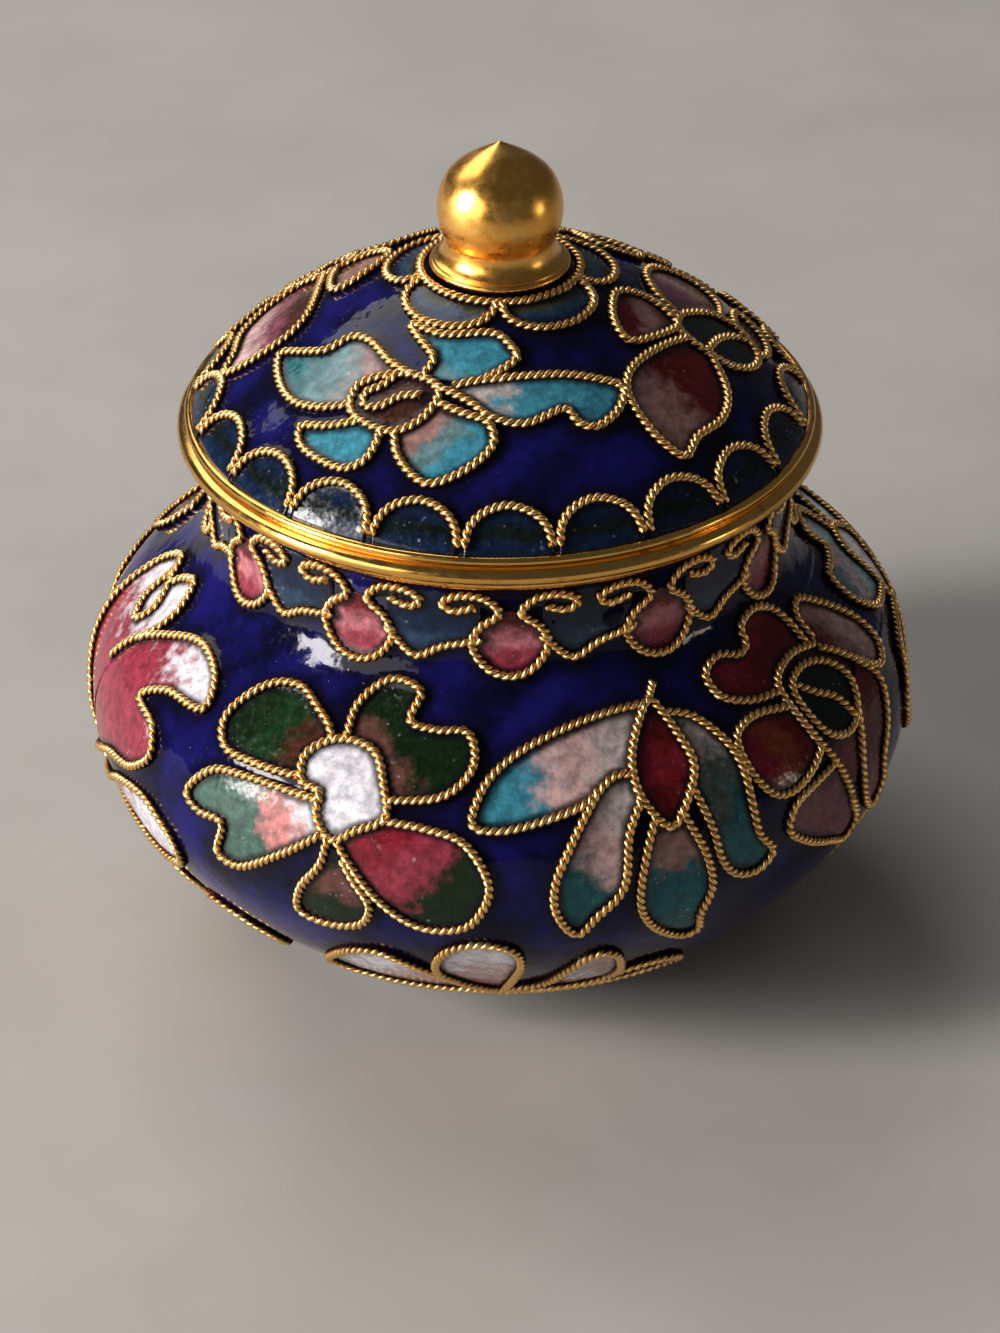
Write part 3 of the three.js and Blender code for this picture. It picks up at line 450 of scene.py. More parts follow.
def smooth_curve(points, closed=False, per_span=14):
    """A centripetal Catmull-Rom curve through the points, as a close polyline."""
    knots = [Vector(p) for p in points]
    if closed:
        knots = [knots[-1]] + knots + knots[:2]
    else:
        knots = [2 * knots[0] - knots[1]] + knots + [2 * knots[-1] - knots[-2]]
    curve = []
    for p0, p1, p2, p3 in zip(knots, knots[1:], knots[2:], knots[3:]):
        d0, d1, d2 = (max((b - a).length, 1e-6) ** 0.5 for a, b in ((p0, p1), (p1, p2), (p2, p3)))
        m1 = ((p1 - p0) / d0 - (p2 - p0) / (d0 + d1) + (p2 - p1) / d1) * d1
        m2 = ((p2 - p1) / d1 - (p3 - p1) / (d1 + d2) + (p3 - p2) / d2) * d1
        for k in range(per_span):
            t = k / per_span
            bend = (3 * (p2 - p1) - 2 * m1 - m2) * t * t
            twist = (2 * (p1 - p2) + m1 + m2) * t ** 3
            curve.append(p1 + m1 * t + bend + twist)
    if not closed:
        curve.append(Vector(points[-1]))
    return curve


def evenly(curve, closed, spacing):
    """The same polyline cut into even steps of about the given length, and its length."""
    ring = curve + [curve[0]] if closed else curve
    reach = [0.0]
    for a, b in zip(ring, ring[1:]):
        reach.append(reach[-1] + (b - a).length)
    count = max(2, round(reach[-1] / spacing))
    points, i = [], 1
    for step in range(count if closed else count + 1):
        d = reach[-1] * step / count
        while i < len(reach) - 1 and reach[i] < d:
            i += 1
        share = (d - reach[i - 1]) / max(reach[i] - reach[i - 1], 1e-9)
        points.append(ring[i - 1].lerp(ring[i], share))
    return points, reach[-1]


class Drawing:
    """Wires and cells drawn flat about an anchor on a skin."""

    def __init__(self, skin, bearing, distance=0.0, flip=1, size=1.0):
        self.skin, self.bearing, self.distance = skin, bearing, distance
        self.flip, self.size = flip, size

    def flat(self, points):
        return [(x * self.flip * self.size, y * self.size) for x, y in points]

    def spot(self, x, y):
        return self.skin.drawn(self.bearing, self.distance, x, y)


wires = []  # (flower or band, skin, [(bearing, distance)], closed)
cells = []  # (flower or band, drawing, closed outline, colours, centre of the heart)


def draw_wire(owner, drawing, points, closed=False):
    curve, _ = evenly(smooth_curve(drawing.flat(points), closed), closed, WIRE_SPACING)
    wires.append((owner, drawing.skin, [drawing.spot(*p) for p in curve], closed))


def draw_cell(owner, drawing, points, colours, heart, closed=False):
    curve, _ = evenly(smooth_curve(drawing.flat(points), closed), closed, CELL_SPACING)
    cells.append((owner, drawing, curve, colours, heart))


def draw_flower(name, skin, motif, colours, bearing, distance, flip=1, size=1):
    drawing = Drawing(skin, bearing, distance, flip, size)
    outline = drawing.flat(motif["heart"])
    heart = sum((Vector(p) for p in outline), Vector((0, 0))) / len(outline)
    if "throat" in motif:
        draw_cell(name, drawing, motif["throat"], (GARNET, CHESTNUT, GARNET), heart, closed=True)
    for number, (points, colour) in enumerate(zip(motif["petals"], colours[1:])):
        root = motif.get("roots", {}).get(number, [])
        draw_cell(name, drawing, points + root, colour, heart)
        draw_wire(name, drawing, points)
    draw_cell(name, drawing, motif["heart"], colours[0], heart, closed=True)
    draw_wire(name, drawing, motif["heart"], closed=True)
    for points in motif.get("strays", []):
        draw_wire(name, drawing, points)


def draw_neck_band():
    curl = DROP_HALF[:CURL_POINTS]
    other_curl = [(-x, y) for x, y in curl]
    drop = mirrored(DROP_HALF[CURL_POINTS - 1:])
    top = vessel_skin.length - 0.1
    lappet = [Vector(p) for p in LAPPET_EDGE + [(x, top) for x in LAPPET_TOP]]
    for i in range(DROP_COUNT):
        drawing = Drawing(vessel_skin, DROP_BEARING + 360 / DROP_COUNT * i)
        cells.append(("neck_band", drawing, lappet, (STEEL, STEEL, SLATE, -90), DROP_MIDDLE))
        for points in (curl, other_curl):
            draw_cell("neck_band", drawing, points, (INK, STEEL, STEEL), DROP_MIDDLE, closed=True)
        draw_cell("neck_band", drawing, drop, (GARNET, SHELL, ROSE, -90), DROP_MIDDLE, closed=True)
        draw_wire("neck_band", drawing, mirrored(DROP_HALF))
        draw_wire("neck_band", drawing, LAPPET_EDGE)


def draw_scallop_band():
    arch, _ = evenly(smooth_curve(mirrored(SCALLOP_HALF)), False, CELL_SPACING)
    across, foot = SCALLOP_FOOT
    outline = [Vector((across, foot))] + arch[::-1] + [Vector((-across, foot))]
    for i in range(SCALLOP_COUNT):
        drawing = Drawing(dome_skin, SCALLOP_BEARING + 360 / SCALLOP_COUNT * i)
        cells.append(("scallop_band", drawing, outline, (STEEL, INK, STEEL, 90), SCALLOP_MIDDLE))
        draw_wire("scallop_band", drawing, mirrored(SCALLOP_HALF))


def draw_collar_band():
    ring = [(degree, COLLAR_RING) for degree in range(0, 360, 2)]
    wires.append(("collar_band", dome_skin, ring, True))
    for i in range(COLLAR_PETAL_COUNT):
        bearing = COLLAR_PETAL_BEARING + 360 / COLLAR_PETAL_COUNT * i
        drawing = Drawing(dome_skin, bearing)
        edge, outline = [], []
        for step in range(COLLAR_PETAL_STEPS + 1):
            turn = math.pi * step / COLLAR_PETAL_STEPS
            spread = COLLAR_PETAL_SPREAD - COLLAR_PETAL_NARROWING * math.sin(turn)
            reach = COLLAR_RING - COLLAR_PETAL_REACH * math.sin(turn) ** 0.6
            edge.append((bearing - spread * math.cos(turn), reach))
            across = math.radians(-spread * math.cos(turn)) * dome_skin.at(reach)[0]
            outline.append(Vector((across, reach)))
        wires.append(("collar_band", dome_skin, edge, False))
        root = Vector((0, COLLAR_RING))
        cells.append(("collar_band", drawing, outline, (OLIVE, SLATE, STEEL, -90), root))


for flower in FLOWERS:
    draw_flower(*flower)
draw_neck_band()
draw_scallop_band()
draw_collar_band()

# ---- the enamel's own surface ----
wire_spots = [
    skin.place(bearing, distance) for _, skin, path, _ in wires for bearing, distance in path]
nearest_wire = kdtree.KDTree(len(wire_spots))
for index, (spot, _) in enumerate(wire_spots):
    nearest_wire.insert(spot, index)
nearest_wire.balance()


def enamel_height(point):
    """Enamel climbs towards the wires and lies in slow waves between them."""
    gap = nearest_wire.find(point)[2] / MM
    climb = max(0.0, 1 - gap / MENISCUS_REACH) ** 2
    wave = sum(noise.noise(point / MM * waves) * height for waves, height in ENAMEL_WAVES)
    return MENISCUS_RISE * climb + wave - ENAMEL_SINK


def wire_shade_nearness(point):
    """1 under a wire, falling to 0 where the painted shade beside the wire ends."""
    return max(0.0, 1 - nearest_wire.find(point)[2] / MM / WIRE_SHADE_REACH)


# ---- materials ----
MIX_FACTOR, MIX_FIRST, MIX_SECOND, MIX_RESULT = 0, 6, 7, 2  # a Mix node's sockets for colours


class Signal:
    """A number that changes over a surface, so that shader maths reads as plain sums."""

    def __init__(self, finish, socket):
        self.finish, self.socket = finish, socket

    def _with(self, operation, *values):
        made = self.finish.node("ShaderNodeMath", {"operation": operation}, dict(enumerate(values)))
        return Signal(self.finish, made.outputs[0])

    def __add__(self, other):
        return self._with("ADD", self, other)

    def __sub__(self, other):
        return self._with("SUBTRACT", self, other)

    def __rsub__(self, other):
        return self._with("SUBTRACT", other, self)

    def __mul__(self, other):
        return self._with("MULTIPLY", self, other)


class Finish:
    """A material being made: one node method, and short names for what is used often."""

    def __init__(self, name, **constants):
        self.material = bpy.data.materials.new(name)
        self.material.use_nodes = True
        self.tree = self.material.node_tree
        self.shader = self.tree.nodes["Principled BSDF"]
        self.place = self.node("ShaderNodeTexCoord").outputs["Object"]
        for socket, value in constants.items():
            self.shader.inputs[socket.replace("_", " ")].default_value = value

    def node(self, kind, settings=None, sockets=None):
        made = self.tree.nodes.new(kind)
        for key, value in (settings or {}).items():
            setattr(made, key, value)
        for key, value in (sockets or {}).items():
            self.feed(made.inputs[key], value)
        return made

    def feed(self, socket, value):
        if isinstance(value, Signal):
            value = value.socket
        if isinstance(value, bpy.types.NodeSocket):
            self.tree.links.new(value, socket)
        else:
            socket.default_value = value

    def noise(self, size, detail=3.0, roughness=0.55, place=None):
        """Cloudy noise whose features are about size millimetres across."""
        made = self.node("ShaderNodeTexNoise", None, {
            "Vector": place or self.place, "Scale": 1 / (size * MM),
            "Detail": detail, "Roughness": roughness})
        return Signal(self, made.outputs["Fac"])

    def stretched(self, across, up):
        return self.node("ShaderNodeMapping", None, {
            "Vector": self.place, "Scale": (across, across, up)}).outputs[0]

    def cellular(self, size, feature="F1"):
        """Distance to scattered points about size millimetres apart, 0 at each point."""
        made = self.node("ShaderNodeTexVoronoi", {"feature": feature}, {
            "Vector": self.place, "Scale": 1 / (size * MM)})
        return Signal(self, made.outputs["Distance"])

    def specks(self, size, low, high, patch, patch_low, feature="F1"):
        """Round specks about size millimetres apart, gathered in patches of their own size."""
        dots = self.ease(self.cellular(size, feature), low, high, 1.0, 0.0)
        return dots * self.ease(self.noise(patch, 2), patch_low, patch_low + 0.14)

    def attribute(self, name, output="Fac"):
        made = self.node("ShaderNodeAttribute", {"attribute_name": name})
        return Signal(self, made.outputs[output])

    def ease(self, signal, low, high, start=0.0, end=1.0):
        """Runs from start to end while the signal runs smoothly from low to high."""
        made = self.node("ShaderNodeMapRange", {"interpolation_type": "SMOOTHSTEP"}, {
            "Value": signal, "From Min": low, "From Max": high, "To Min": start, "To Max": end})
        return Signal(self, made.outputs["Result"])

    def mix(self, factor, first, second, blend="MIX"):
        made = self.node("ShaderNodeMix", {"data_type": "RGBA", "blend_type": blend}, {
            MIX_FACTOR: factor, MIX_FIRST: paint(first), MIX_SECOND: paint(second)})
        return made.outputs[MIX_RESULT]

    def bump(self, height, strength, distance):
        made = self.node("ShaderNodeBump", None, {
            "Height": height, "Strength": strength, "Distance": distance * MM})
        self.feed(self.shader.inputs["Normal"], made.outputs["Normal"])

    def set(self, **sockets):
        for socket, value in sockets.items():
            self.feed(self.shader.inputs[socket.replace("_", " ")], value)
        return self.material


def painted_shade_at_wires(finish, colour, start, full):
    """Enamel painted dark with shade where it meets the wire."""
    edge = finish.attribute("wire_shade_mask") + (finish.noise(0.7, 2) - 0.5) * 0.16
    return finish.mix(finish.ease(edge, start, full, 0.0, 0.88), colour, PAINTED_WIRE_SHADE)


def paint(colour):
    """A plain colour with its alpha, or a socket as it is."""
    return (*colour, 1.0) if isinstance(colour, tuple) and len(colour) == 3 else colour


def cobalt_ground():
    """Deep translucent cobalt, cloudier where it lies thin, with fine pits, pale dust and painted
    shade beside the wires.
    """
    finish = Finish("cobalt_ground", IOR=1.46, Specular_IOR_Level=0.2)
    cloud = finish.noise(5.0, 4, 0.6)
    grain = finish.noise(0.5, 3, 0.6)
    colour = finish.mix(finish.ease(cloud, 0.35, 0.68), DEEP_COBALT, CLEAR_COBALT)
    colour = finish.mix(finish.ease(grain, 0.5, 0.75, 0.0, 0.35), colour, GRAINY_COBALT)
    dust = finish.specks(0.55, 0.0, 0.16, 2.5, 0.56)
    colour = finish.mix(dust * 0.35, colour, COBALT_DUST)
    pits = finish.ease(finish.cellular(0.9), 0.0, 0.13)
    # painted shade on the cobalt beside the wires
    colour = painted_shade_at_wires(finish, colour, 0.25, 0.88)
    finish.bump(finish.noise(1.9, 2) + pits * 0.2 + grain * 0.05, 0.8, 0.08)
    return finish.set(Base_Color=colour, Roughness=finish.ease(grain, 0.4, 0.8, 0.06, 0.18))


def petal_enamel():
    """Opaque enamels that run into each other inside a cell, grainy and pitted."""
    finish = Finish("petal_enamel", IOR=1.46, Specular_IOR_Level=0.32)
    grain = finish.noise(0.45, 3, 0.65)
    run = finish.attribute("run") + (finish.noise(1.3, 3, 0.6) - 0.5) * 0.55
    root, middle, tip = (finish.attribute(name, "Color").socket for name in TINTS)
    colour = finish.mix(finish.ease(run, 0.22, 0.44), root, middle)
    colour = finish.mix(finish.ease(run, 0.50, 0.72), colour, tip)
    shade = finish.ease(finish.noise(0.9, 4, 0.65), 0.3, 0.72, 0.55, 1.12)
    colour = finish.mix(1.0, colour, finish.node("ShaderNodeCombineColor", None, {
        "Red": shade, "Green": shade, "Blue": shade}).outputs[0], "MULTIPLY")
    colour = finish.mix(finish.specks(0.5, 0.05, 0.20, 1.4, 0.48) * 0.6, colour, SPECK)
    frost = finish.specks(0.62, 0.04, 0.22, 2.1, 0.52, "SMOOTH_F1")
    colour = finish.mix(frost * 0.35, colour, FROST)
    # painted shade on the cells beside the wires
    colour = painted_shade_at_wires(finish, colour, 0.62, 0.85)
    pits = finish.ease(finish.cellular(0.7), 0.0, 0.16)
    finish.bump(finish.noise(1.3, 2) + pits * 0.25 + grain * 0.06, 0.8, 0.07)
    return finish.set(Base_Color=colour, Roughness=finish.ease(grain, 0.35, 0.8, 0.12, 0.34))


def plain_enamel():
    """The plainer enamel of the inside and the underside: one blue, thinly and unevenly laid."""
    finish = Finish("plain_enamel", IOR=1.5)
    cloud = finish.noise(6.0, 4, 0.6)
    grain = finish.noise(0.7, 3, 0.6)
    colour = finish.mix(finish.ease(cloud, 0.3, 0.7), THIN_BLUE, THICK_BLUE)
    pits = finish.ease(finish.cellular(1.3), 0.0, 0.14)
    colour = finish.mix((1 - pits) * 0.7, colour, BLUE_PIT)
    finish.bump(finish.noise(2.5, 2) + pits * 0.4 + grain * 0.1, 0.5, 0.06)
    return finish.set(Base_Color=colour, Roughness=finish.ease(grain, 0.4, 0.8, 0.18, 0.38))


def twisted_wire_gilt():
    """Gilding that is bright on the worn crests and painted dark brown with shade down in the
    twist.
    """
    finish = Finish("twisted_wire_gilt", Metallic=1.0)
    crest = finish.attribute("crest")
    patch = finish.noise(2.2, 3, 0.6)
    # the dark down in the twist is painted shade; the crests are worn bright
    wear_and_shade = finish.ease(crest + (patch - 0.5) * 0.5, 0.26, 0.92)
    colour = finish.mix(wear_and_shade, WIRE_HOLLOW_SHADE, WIRE_CREST)
    colour = finish.mix(finish.ease(patch, 0.58, 0.72, 0.0, 0.5), colour, WIRE_RUBBED)
    finish.bump(finish.noise(0.18, 2), 0.25, 0.02)
    return finish.set(Base_Color=colour, Roughness=finish.ease(wear_and_shade, 0.0, 1.0, 0.5, 0.34))


def rim_gilt():
    """Polished gilding on the spun rims, with fine turning lines and a little tarnish."""
    finish = Finish("rim_gilt", Metallic=1.0)
    patch = finish.noise(1.8, 4, 0.65)
    lines = finish.noise(0.6, 2, 0.6, finish.stretched(0.15, 6.0))
    colour = finish.mix(finish.ease(patch, 0.5, 0.78), RIM_BRIGHT, RIM_TARNISH)
    finish.bump(lines + patch * 0.5, 0.2, 0.02)
    return finish.set(Base_Color=colour, Roughness=finish.ease(patch, 0.35, 0.75, 0.12, 0.32))


def ball_gilt():
    """Satin gilding on the finial, brushed in short strokes and rubbed in patches."""
    finish = Finish("ball_gilt", Metallic=1.0)
    patch = finish.noise(2.4, 5, 0.68)
    strokes = finish.noise(0.5, 3, 0.7, finish.stretched(0.5, 3.0))
    colour = finish.mix(finish.ease(patch, 0.42, 0.66), BALL_WARM, BALL_PALE)
    colour = finish.mix(finish.ease(patch, 0.62, 0.8, 0.0, 0.7), colour, BALL_TARNISH)
    finish.bump(strokes * 0.5 + patch * 0.5, 0.15, 0.03)
    return finish.set(Base_Color=colour, Roughness=finish.ease(patch, 0.3, 0.75, 0.20, 0.40))


COBALT = cobalt_ground()
PETALS = petal_enamel()
PLAIN = plain_enamel()
WIRE_GILT = twisted_wire_gilt()
RIM_GILT = rim_gilt()
BALL_GILT = ball_gilt()


# ---- making pieces ----
def finish_piece(mesh, materials, slot, *nodes):
    """Links a mesh as a piece of the pot, at the origin, unturned and unscaled."""
    for material in materials:
        mesh.materials.append(material)
    piece = bpy.data.objects.new(mesh.name, mesh)
    bpy.context.scene.collection.objects.link(piece)
    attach(piece, "root")
    if nodes:
        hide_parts(*nodes)


def spun(profile, sides, closed):
    """Spins points (r, z) in millimetres round the pot's axis. An open profile ends on the axis."""
    bm = bmesh.new()
    verts = [bm.verts.new((r * MM, 0, z * MM)) for r, z in profile]
    edges = [bm.edges.new(pair) for pair in zip(verts, verts[1:])]
    if closed:
        edges.append(bm.edges.new((verts[-1], verts[0])))
    bmesh.ops.spin(
        bm, geom=verts + edges, axis=(0, 0, 1), cent=(0, 0, 0), angle=math.tau, steps=sides,
        use_merge=True)
    bmesh.ops.remove_doubles(bm, verts=bm.verts[:], dist=0.001 * MM)
    bmesh.ops.recalc_face_normals(bm, faces=bm.faces[:])
    for face in bm.faces:
        face.smooth = True
    return bm


def as_mesh(name, bm):
    mesh = bpy.data.meshes.new(name)
    bm.to_mesh(mesh)
    bm.free()
    return mesh


def arc(centre_r, centre_z, radius, start, end, count):
    """Points (r, z) of an arc; 0 degrees points outwards and 90 up."""
    points = []
    for i in range(count + 1):
        a = math.radians(start + (end - start) * i / count)
        points.append((centre_r + radius * math.cos(a), centre_z + radius * math.sin(a)))
    return points


def wave_enamel(bm, skin):
    """Lets the outer side of a spun body rise and fall as its enamel does."""
    outward = {}
    for distance in skin.reach:
        r, z, out_r, out_z = skin.at(distance)
        outward[round(r, 2), round(z, 2)] = (out_r, out_z)
    # also records how near each point is to a wire, for the painted shade beside it
    near = bm.verts.layers.float.new("wire_shade_mask")
    for vert in bm.verts:
        r = math.hypot(vert.co.x, vert.co.y)
        out = outward.get((round(r / MM, 2), round(vert.co.z / MM, 2)))
        if out and r > 0:
            vert[near] = wire_shade_nearness(vert.co)
            direction = Vector((vert.co.x / r * out[0], vert.co.y / r * out[0], out[1]))
            vert.co += direction * enamel_height(vert.co) * MM


def enamelled(node, profile, outer, is_inside):
    """A spun body with cobalt on the outer side and plain enamel wherever is_inside holds."""
    bm = spun(profile, ROUND, closed=False)
    wave_enamel(bm, Skin(outer))
    for face in bm.faces:
        face.material_index = int(is_inside(face.calc_center_median() / MM, face.normal))
    finish_piece(as_mesh(node + "_enamel", bm), [COBALT, PLAIN], "enamel", node)


def gilded(node, profile, sides, finish, closed=True):
    finish_piece(as_mesh(node + "_gilt", spun(profile, sides, closed)), [finish], "gilt", node)


def make_vessel():
    outer = vessel_outline(FINE, BASE_RADIUS)
    base = outer[0][1]
    floor = base + WALL
    inner = [p for p in inside_of(vessel_outline(COARSE, BASE_RADIUS), WALL) if p[1] > floor + 0.3]
    inner[-1] = (NECK_RADIUS - WALL, NECK_TOP)
    bottom = [(BASE_RADIUS - 1.2, floor + 0.2), (BASE_RADIUS - 3, floor), (0, floor)]
    centre = Vector((0, 0, BELLY_HEIGHT))

    def is_inside(spot, normal):
        under = spot.z < base + 0.1 and spot.xy.length < BASE_RADIUS
        return under or normal.dot(spot - centre) < 0

    enamelled("vessel", [(0, base)] + outer + inner[::-1] + bottom, outer, is_inside)


def make_lid():
    outer = dome_outline(FINE, DOME_EDGE_RADIUS)
    top = outer[-1][1]
    inner = [p for p in inside_of(dome_outline(COARSE, DOME_EDGE_RADIUS), WALL)
             if p[0] < FLANGE_RADIUS - WALL and p[1] < top - WALL]
    under = RIM_BOTTOM + 0.2
    edge_bottom = outer[0][1]
    side = DOME_EDGE_RADIUS - 0.7
    flange_inside = FLANGE_RADIUS - FLANGE_THICK
    corner = 0.3
    flange = [
        (flange_inside, under + 1.2),
        (flange_inside, FLANGE_BOTTOM + corner), (flange_inside + corner, FLANGE_BOTTOM),
        (FLANGE_RADIUS - corner, FLANGE_BOTTOM), (FLANGE_RADIUS, FLANGE_BOTTOM + corner),
        (FLANGE_RADIUS, under), (side, under), (side, edge_bottom - 0.6)]

    def is_inside(spot, normal):
        return spot.z < edge_bottom - 0.5 or normal.z < 0

    profile = [(0, top - WALL)] + inner[::-1] + flange + outer + [(0, top)]
    enamelled("lid", profile, outer, is_inside)


def make_foot_ring():
    inside = FOOT_RADIUS - FOOT_WIDTH
    profile = (
        [(inside, 0.15), (inside + 0.15, 0.0), (FOOT_RADIUS - 0.35, 0.0)]
        + arc(FOOT_RADIUS - 0.4, 0.4, 0.38, -70, 60, 8)
        + [(FOOT_RADIUS - 0.25, 0.85), (FOOT_RADIUS, FOOT_TOP), (inside, FOOT_TOP)])
    gilded("foot_ring", profile, RIM_ROUND, RIM_GILT)


def make_mouth_rim():
    inside = NECK_RADIUS - 1.7
    middle = (MOUTH_BOTTOM + MOUTH_TOP) / 2
    bead = (MOUTH_TOP - MOUTH_BOTTOM) / 2 - 0.02
    profile = (
        [(inside, MOUTH_BOTTOM), (NECK_RADIUS + 0.3, MOUTH_BOTTOM)]
        + arc(NECK_RADIUS + 0.15, middle, bead, -60, 80, 10)
        + [(NECK_RADIUS - 0.3, MOUTH_TOP), (inside, MOUTH_TOP)])
    gilded("mouth_rim", profile, RIM_ROUND, RIM_GILT)


def make_lid_rim():
    """A thick bead below, a dark groove and a thin bead above."""
    inside = DOME_EDGE_RADIUS - 0.4
    profile = (
        [(inside, RIM_BOTTOM), (23.7, RIM_BOTTOM)]
        + arc(LOWER_BEAD_RADIUS, RIM_BOTTOM + LOWER_BEAD, LOWER_BEAD, -70, 75, 14)
        + [(23.85, 42.72), (23.62, 42.78)]
        + arc(UPPER_BEAD_RADIUS, UPPER_BEAD_HEIGHT, UPPER_BEAD, -50, 110, 10)
        + [(inside, 43.35)])
    gilded("lid_rim", profile, ROUND, RIM_GILT)


def make_finial():
    """A ball drawn up to a point, on a flared skirt with a rolled edge."""
    seat = FINIAL_SEAT
    waist = (SKIRT_TOP_RADIUS, seat + SKIRT_TOP)
    step = (SEAT_RADIUS + 0.03, seat + 0.62)
    skirt = bezier(step, (4.5, seat + 0.75), (SKIRT_TOP_RADIUS, seat + 1.3), waist, 10)
    low = math.degrees(math.asin((waist[1] + 0.12 - BALL_HEIGHT) / BALL_RADIUS))
    ball = arc(0, BALL_HEIGHT, BALL_RADIUS, low, CROWN_START, 24)
    crown = bezier(
        ball[-1], (3.3, BALL_HEIGHT + 3.6), (1.45, BALL_HEIGHT + 4.5), (0, FINIAL_TIP), 24)
    profile = (
        [(0, seat), (SEAT_RADIUS - 0.02, seat)]
        + arc(SEAT_RADIUS, seat + SEAT_ROLL, SEAT_ROLL, -80, 95, 8)
        + [(SEAT_RADIUS - 0.04, seat + 0.6), step]
        + skirt + ball + crown)
    gilded("finial", profile, RIM_ROUND, BALL_GILT, closed=False)


def make_wires(owner):
    """All the twisted wire of one flower or band: two strands wound round each other."""
    curve = bpy.data.curves.new(owner, "CURVE")
    curve.dimensions = "3D"
    curve.bevel_depth = STRAND * MM
    curve.bevel_resolution = 1
    curve.use_fill_caps = True
    for who, skin, path, closed in wires:
        if who != owner:
            continue
        spots = [skin.place(bearing, distance, WIRE_CENTRE) for bearing, distance in path]
        line, length = evenly([spot for spot, _ in spots], closed, TWIST_PITCH / TWIST_STEPS * MM)
        turns = max(2, round(length / (TWIST_PITCH * MM)))
        phase = chance.uniform(0, math.tau)
        count = len(line)
        strands = ([], [])
        for i, point in enumerate(line):
            ahead = line[(i + 1) % count] if closed else line[min(i + 1, count - 1)]
            behind = line[i - 1] if closed or i else line[0]
            up = wire_spots[nearest_wire.find(point)[1]][1]
            side = (ahead - behind).cross(up).normalized()
            a = phase + math.tau * turns * i / (count if closed else count - 1)
            offset = (side * math.cos(a) + up * math.sin(a)) * STRAND * MM
            strands[0].append(point + offset)
            strands[1].append(point - offset)
        for strand in strands:
            spline = curve.splines.new("POLY")
            spline.points.add(count - 1)
            for knot, point in zip(spline.points, strand):
                knot.co = (*point, 1)
            spline.use_cyclic_u = closed
    rope = bpy.data.objects.new(owner, curve)
    mesh = bpy.data.meshes.new_from_object(rope)
    bpy.data.objects.remove(rope)
    mesh.name = "twisted_wire_" + owner
    mesh.shade_smooth()
    # crest: height up the wire, which sets its wear and the painted shade in its twist
    crest = mesh.attributes.new("crest", "FLOAT", "POINT")
    for vert in mesh.vertices:
        spot, index, _ = nearest_wire.find(vert.co)
        height = (vert.co - spot).dot(wire_spots[index][1]) / MM
        crest.data[vert.index].value = min(max((height - CREST_LOW) / CREST_SPAN, 0), 1)
    finish_piece(mesh, [WIRE_GILT], "gilt_wire", "wire_" + owner)


def colour_run(outline, heart, colours):
    """Direction, start and length of a cell's run of colours, away from the heart or as asked."""
    if len(colours) > 3 and colours[3] is not None:
        turn = math.radians(colours[3])
        way = Vector((math.cos(turn), math.sin(turn)))
    else:
        middle = sum(outline, Vector((0, 0))) / len(outline)
        way = middle - heart
        way = way.normalized() if way.length > 0.5 else Vector((0, 1))
    reaches = [p.dot(way) for p in outline]
    reach = max(reaches) - min(reaches)
    held_back = colours[4] if len(colours) > 4 else 0
    return way, min(reaches) + held_back * reach, reach


def make_cells(owner):
    """The enamel in the cells of one flower or band: thin slabs that follow the skin."""
    bm = bmesh.new()
    layers = bm.verts.layers
    for name in ("cell", "run", "wire_shade_mask"):
        layers.float.new(name)
    for name in TINTS:
        layers.float_color.new(name)
    layers.float_vector.new("upward")
    # A new layer unsettles the ones made before it, so they are looked up once all are there.
    number, run, near = (layers.float[name] for name in ("cell", "run", "wire_shade_mask"))
    tints = [layers.float_color[name] for name in TINTS]
    upward = layers.float_vector["upward"]
    own = [cell for cell in cells if cell[0] == owner]
    for index, (_, _, outline, _, _) in enumerate(own):
        ring = []
        for point in outline:
            vert = bm.verts.new((point.x, point.y, 0))
            vert[number] = index
            ring.append(vert)
        for corners in tessellate_polygon([[point.to_3d() for point in outline]]):
            bm.faces.new([ring[corner] for corner in corners])
    for axis in (0, 1):
        places = [vert.co[axis] for vert in bm.verts]
        cut = math.ceil(min(places) / CELL_GRID) * CELL_GRID
        while cut < max(places):
            where, way = Vector((0, 0, 0)), Vector((0, 0, 0))
            where[axis], way[axis] = cut, 1
            everything = bm.verts[:] + bm.edges[:] + bm.faces[:]
            bmesh.ops.bisect_plane(bm, geom=everything, dist=1e-5, plane_co=where, plane_no=way)
            cut += CELL_GRID
    runs = [colour_run(outline, heart, colours) for _, _, outline, colours, heart in own]
    for vert in bm.verts:
        index = round(vert[number])
        _, drawing, _, colours, _ = own[index]
        way, start, reach = runs[index]
        vert[run] = (Vector(vert.co.xy).dot(way) - start) / reach
        for layer, colour in zip(tints, colours):
            vert[layer] = (*colour, 1)
        spot, up = drawing.skin.place(*drawing.spot(vert.co.x, vert.co.y))
        # how near the wire, for the painted shade beside it
        vert[near] = wire_shade_nearness(spot)
        lift = enamel_height(spot) + CELL_LIFT + CELL_LAYER * (index % CELL_LAYERS)
        vert[upward] = up
        vert.co = spot + up * lift * MM
    sheet = bm.verts[:]
    bmesh.ops.extrude_face_region(bm, geom=bm.faces[:], use_keep_orig=True)
    for vert in sheet:
        vert.co -= vert[upward] * CELL_DEPTH * MM
    bmesh.ops.recalc_face_normals(bm, faces=bm.faces[:])
    for face in bm.faces:
        face.smooth = abs(face.normal.dot(face.verts[0][upward])) > 0.5
    layers.float_vector.remove(upward)
    layers.float.remove(layers.float["cell"])
    finish_piece(as_mesh("petals_" + owner, bm), [PETALS], "enamel")


make_vessel()
make_lid()
make_foot_ring()
make_mouth_rim()
make_lid_rim()
make_finial()
owners = [flower[0] for flower in FLOWERS] + ["neck_band", "scallop_band", "collar_band"]
for owner in owners:
    make_wires(owner)
    make_cells(owner)


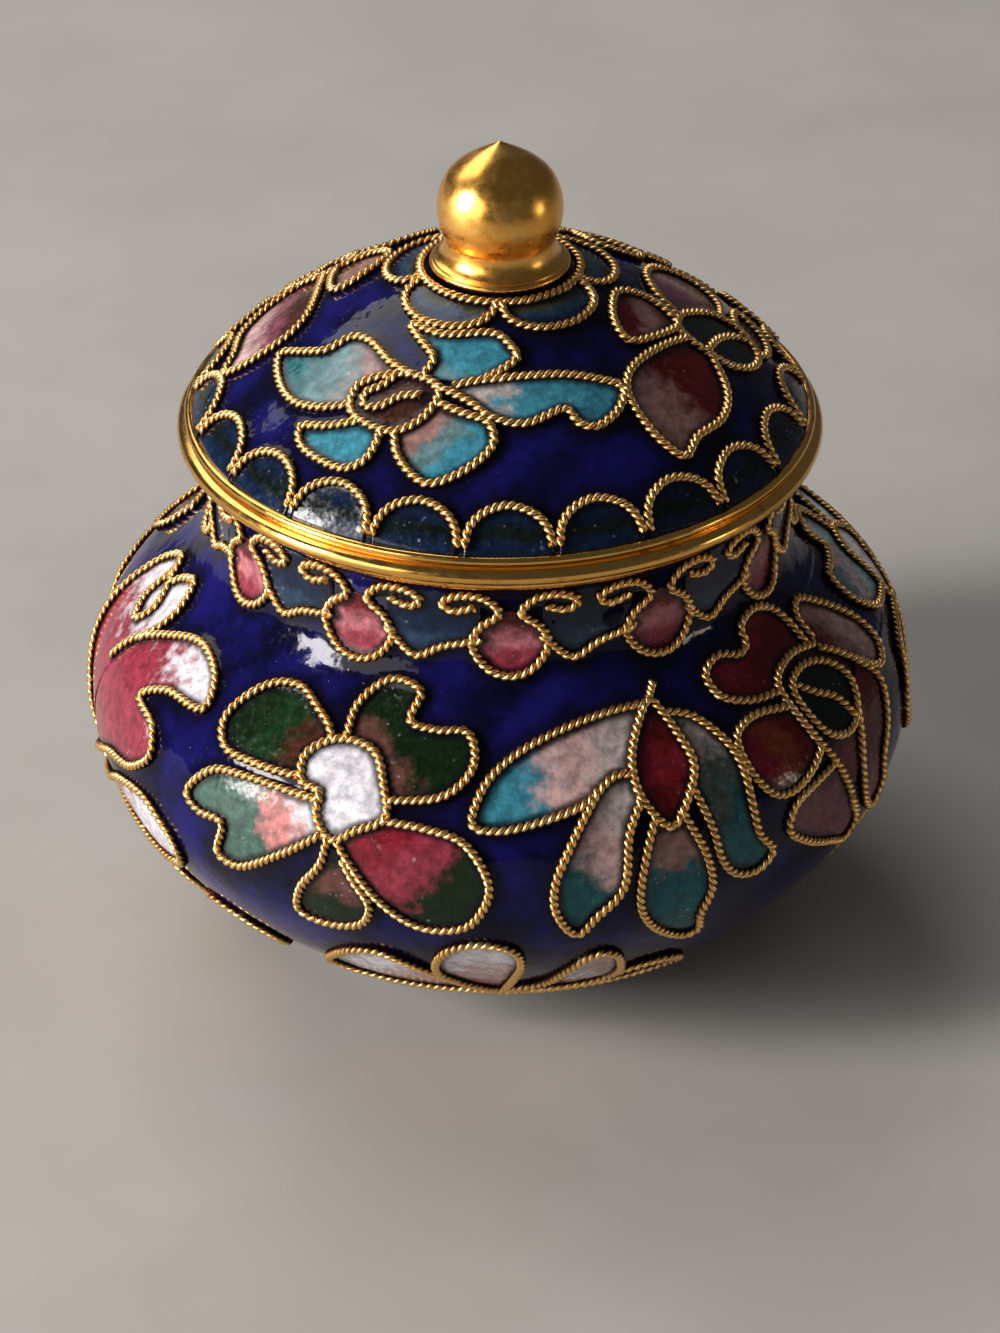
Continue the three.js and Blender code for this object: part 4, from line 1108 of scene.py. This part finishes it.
# ---- stage ----
def make_floor():
    bm = bmesh.new()
    bmesh.ops.create_grid(bm, x_segments=1, y_segments=1, size=3.0)
    mesh = as_mesh("floor", bm)
    finish = Finish("pale_floor")
    grain = finish.noise(30, 3)
    colour = finish.mix(finish.ease(grain, 0.3, 0.7), (0.40, 0.38, 0.355), (0.44, 0.42, 0.395))
    mesh.materials.append(finish.set(Base_Color=colour, Roughness=0.6))
    floor = bpy.data.objects.new("floor", mesh)
    bpy.context.scene.collection.objects.link(floor)


def make_light(name, place, aim, size, power, colour):
    data = bpy.data.lights.new(name, "AREA")
    data.shape = "RECTANGLE"
    data.size, data.size_y = size
    data.energy = power
    data.color = colour
    lamp = bpy.data.objects.new(name, data)
    lamp.location = place
    lamp.rotation_euler = (Vector(aim) - Vector(place)).to_track_quat("-Z", "Y").to_euler()
    bpy.context.scene.collection.objects.link(lamp)


def make_camera():
    data = bpy.data.cameras.new("camera")
    data.lens, data.sensor_width = 121.5, 36
    data.clip_start = 0.01
    camera = bpy.data.objects.new("camera", data)
    camera.location = (0, -0.30167, 0.20674)
    camera.rotation_euler = (math.radians(58.19), 0, 0)
    bpy.context.scene.collection.objects.link(camera)
    bpy.context.scene.camera = camera


make_floor()
make_camera()
aim = (0, 0, 0.03)
make_light("window", (-0.88, -0.29, 0.38), aim, (0.22, 0.45), 14, (1.0, 0.97, 0.93))
make_light("soft_panel", (-0.88, -0.66, 0.36), aim, (0.8, 0.6), 5, (1.0, 0.96, 0.90))
make_light("overhead", (-0.45, 0.62, 0.85), aim, (0.9, 0.7), 5.5, (1.0, 0.98, 0.96))
make_light("glow", (0.85, -0.2, 0.10), aim, (0.12, 0.12), 0.4, (1.0, 0.85, 0.65))
world = bpy.data.worlds.new("studio")
bpy.context.scene.world = world
world.use_nodes = True
sky = world.node_tree.nodes["Background"].inputs
sky["Color"].default_value = (0.9, 0.92, 1.0, 1)
sky["Strength"].default_value = 0.08

bpy.context.scene.view_settings.view_transform = "Standard"
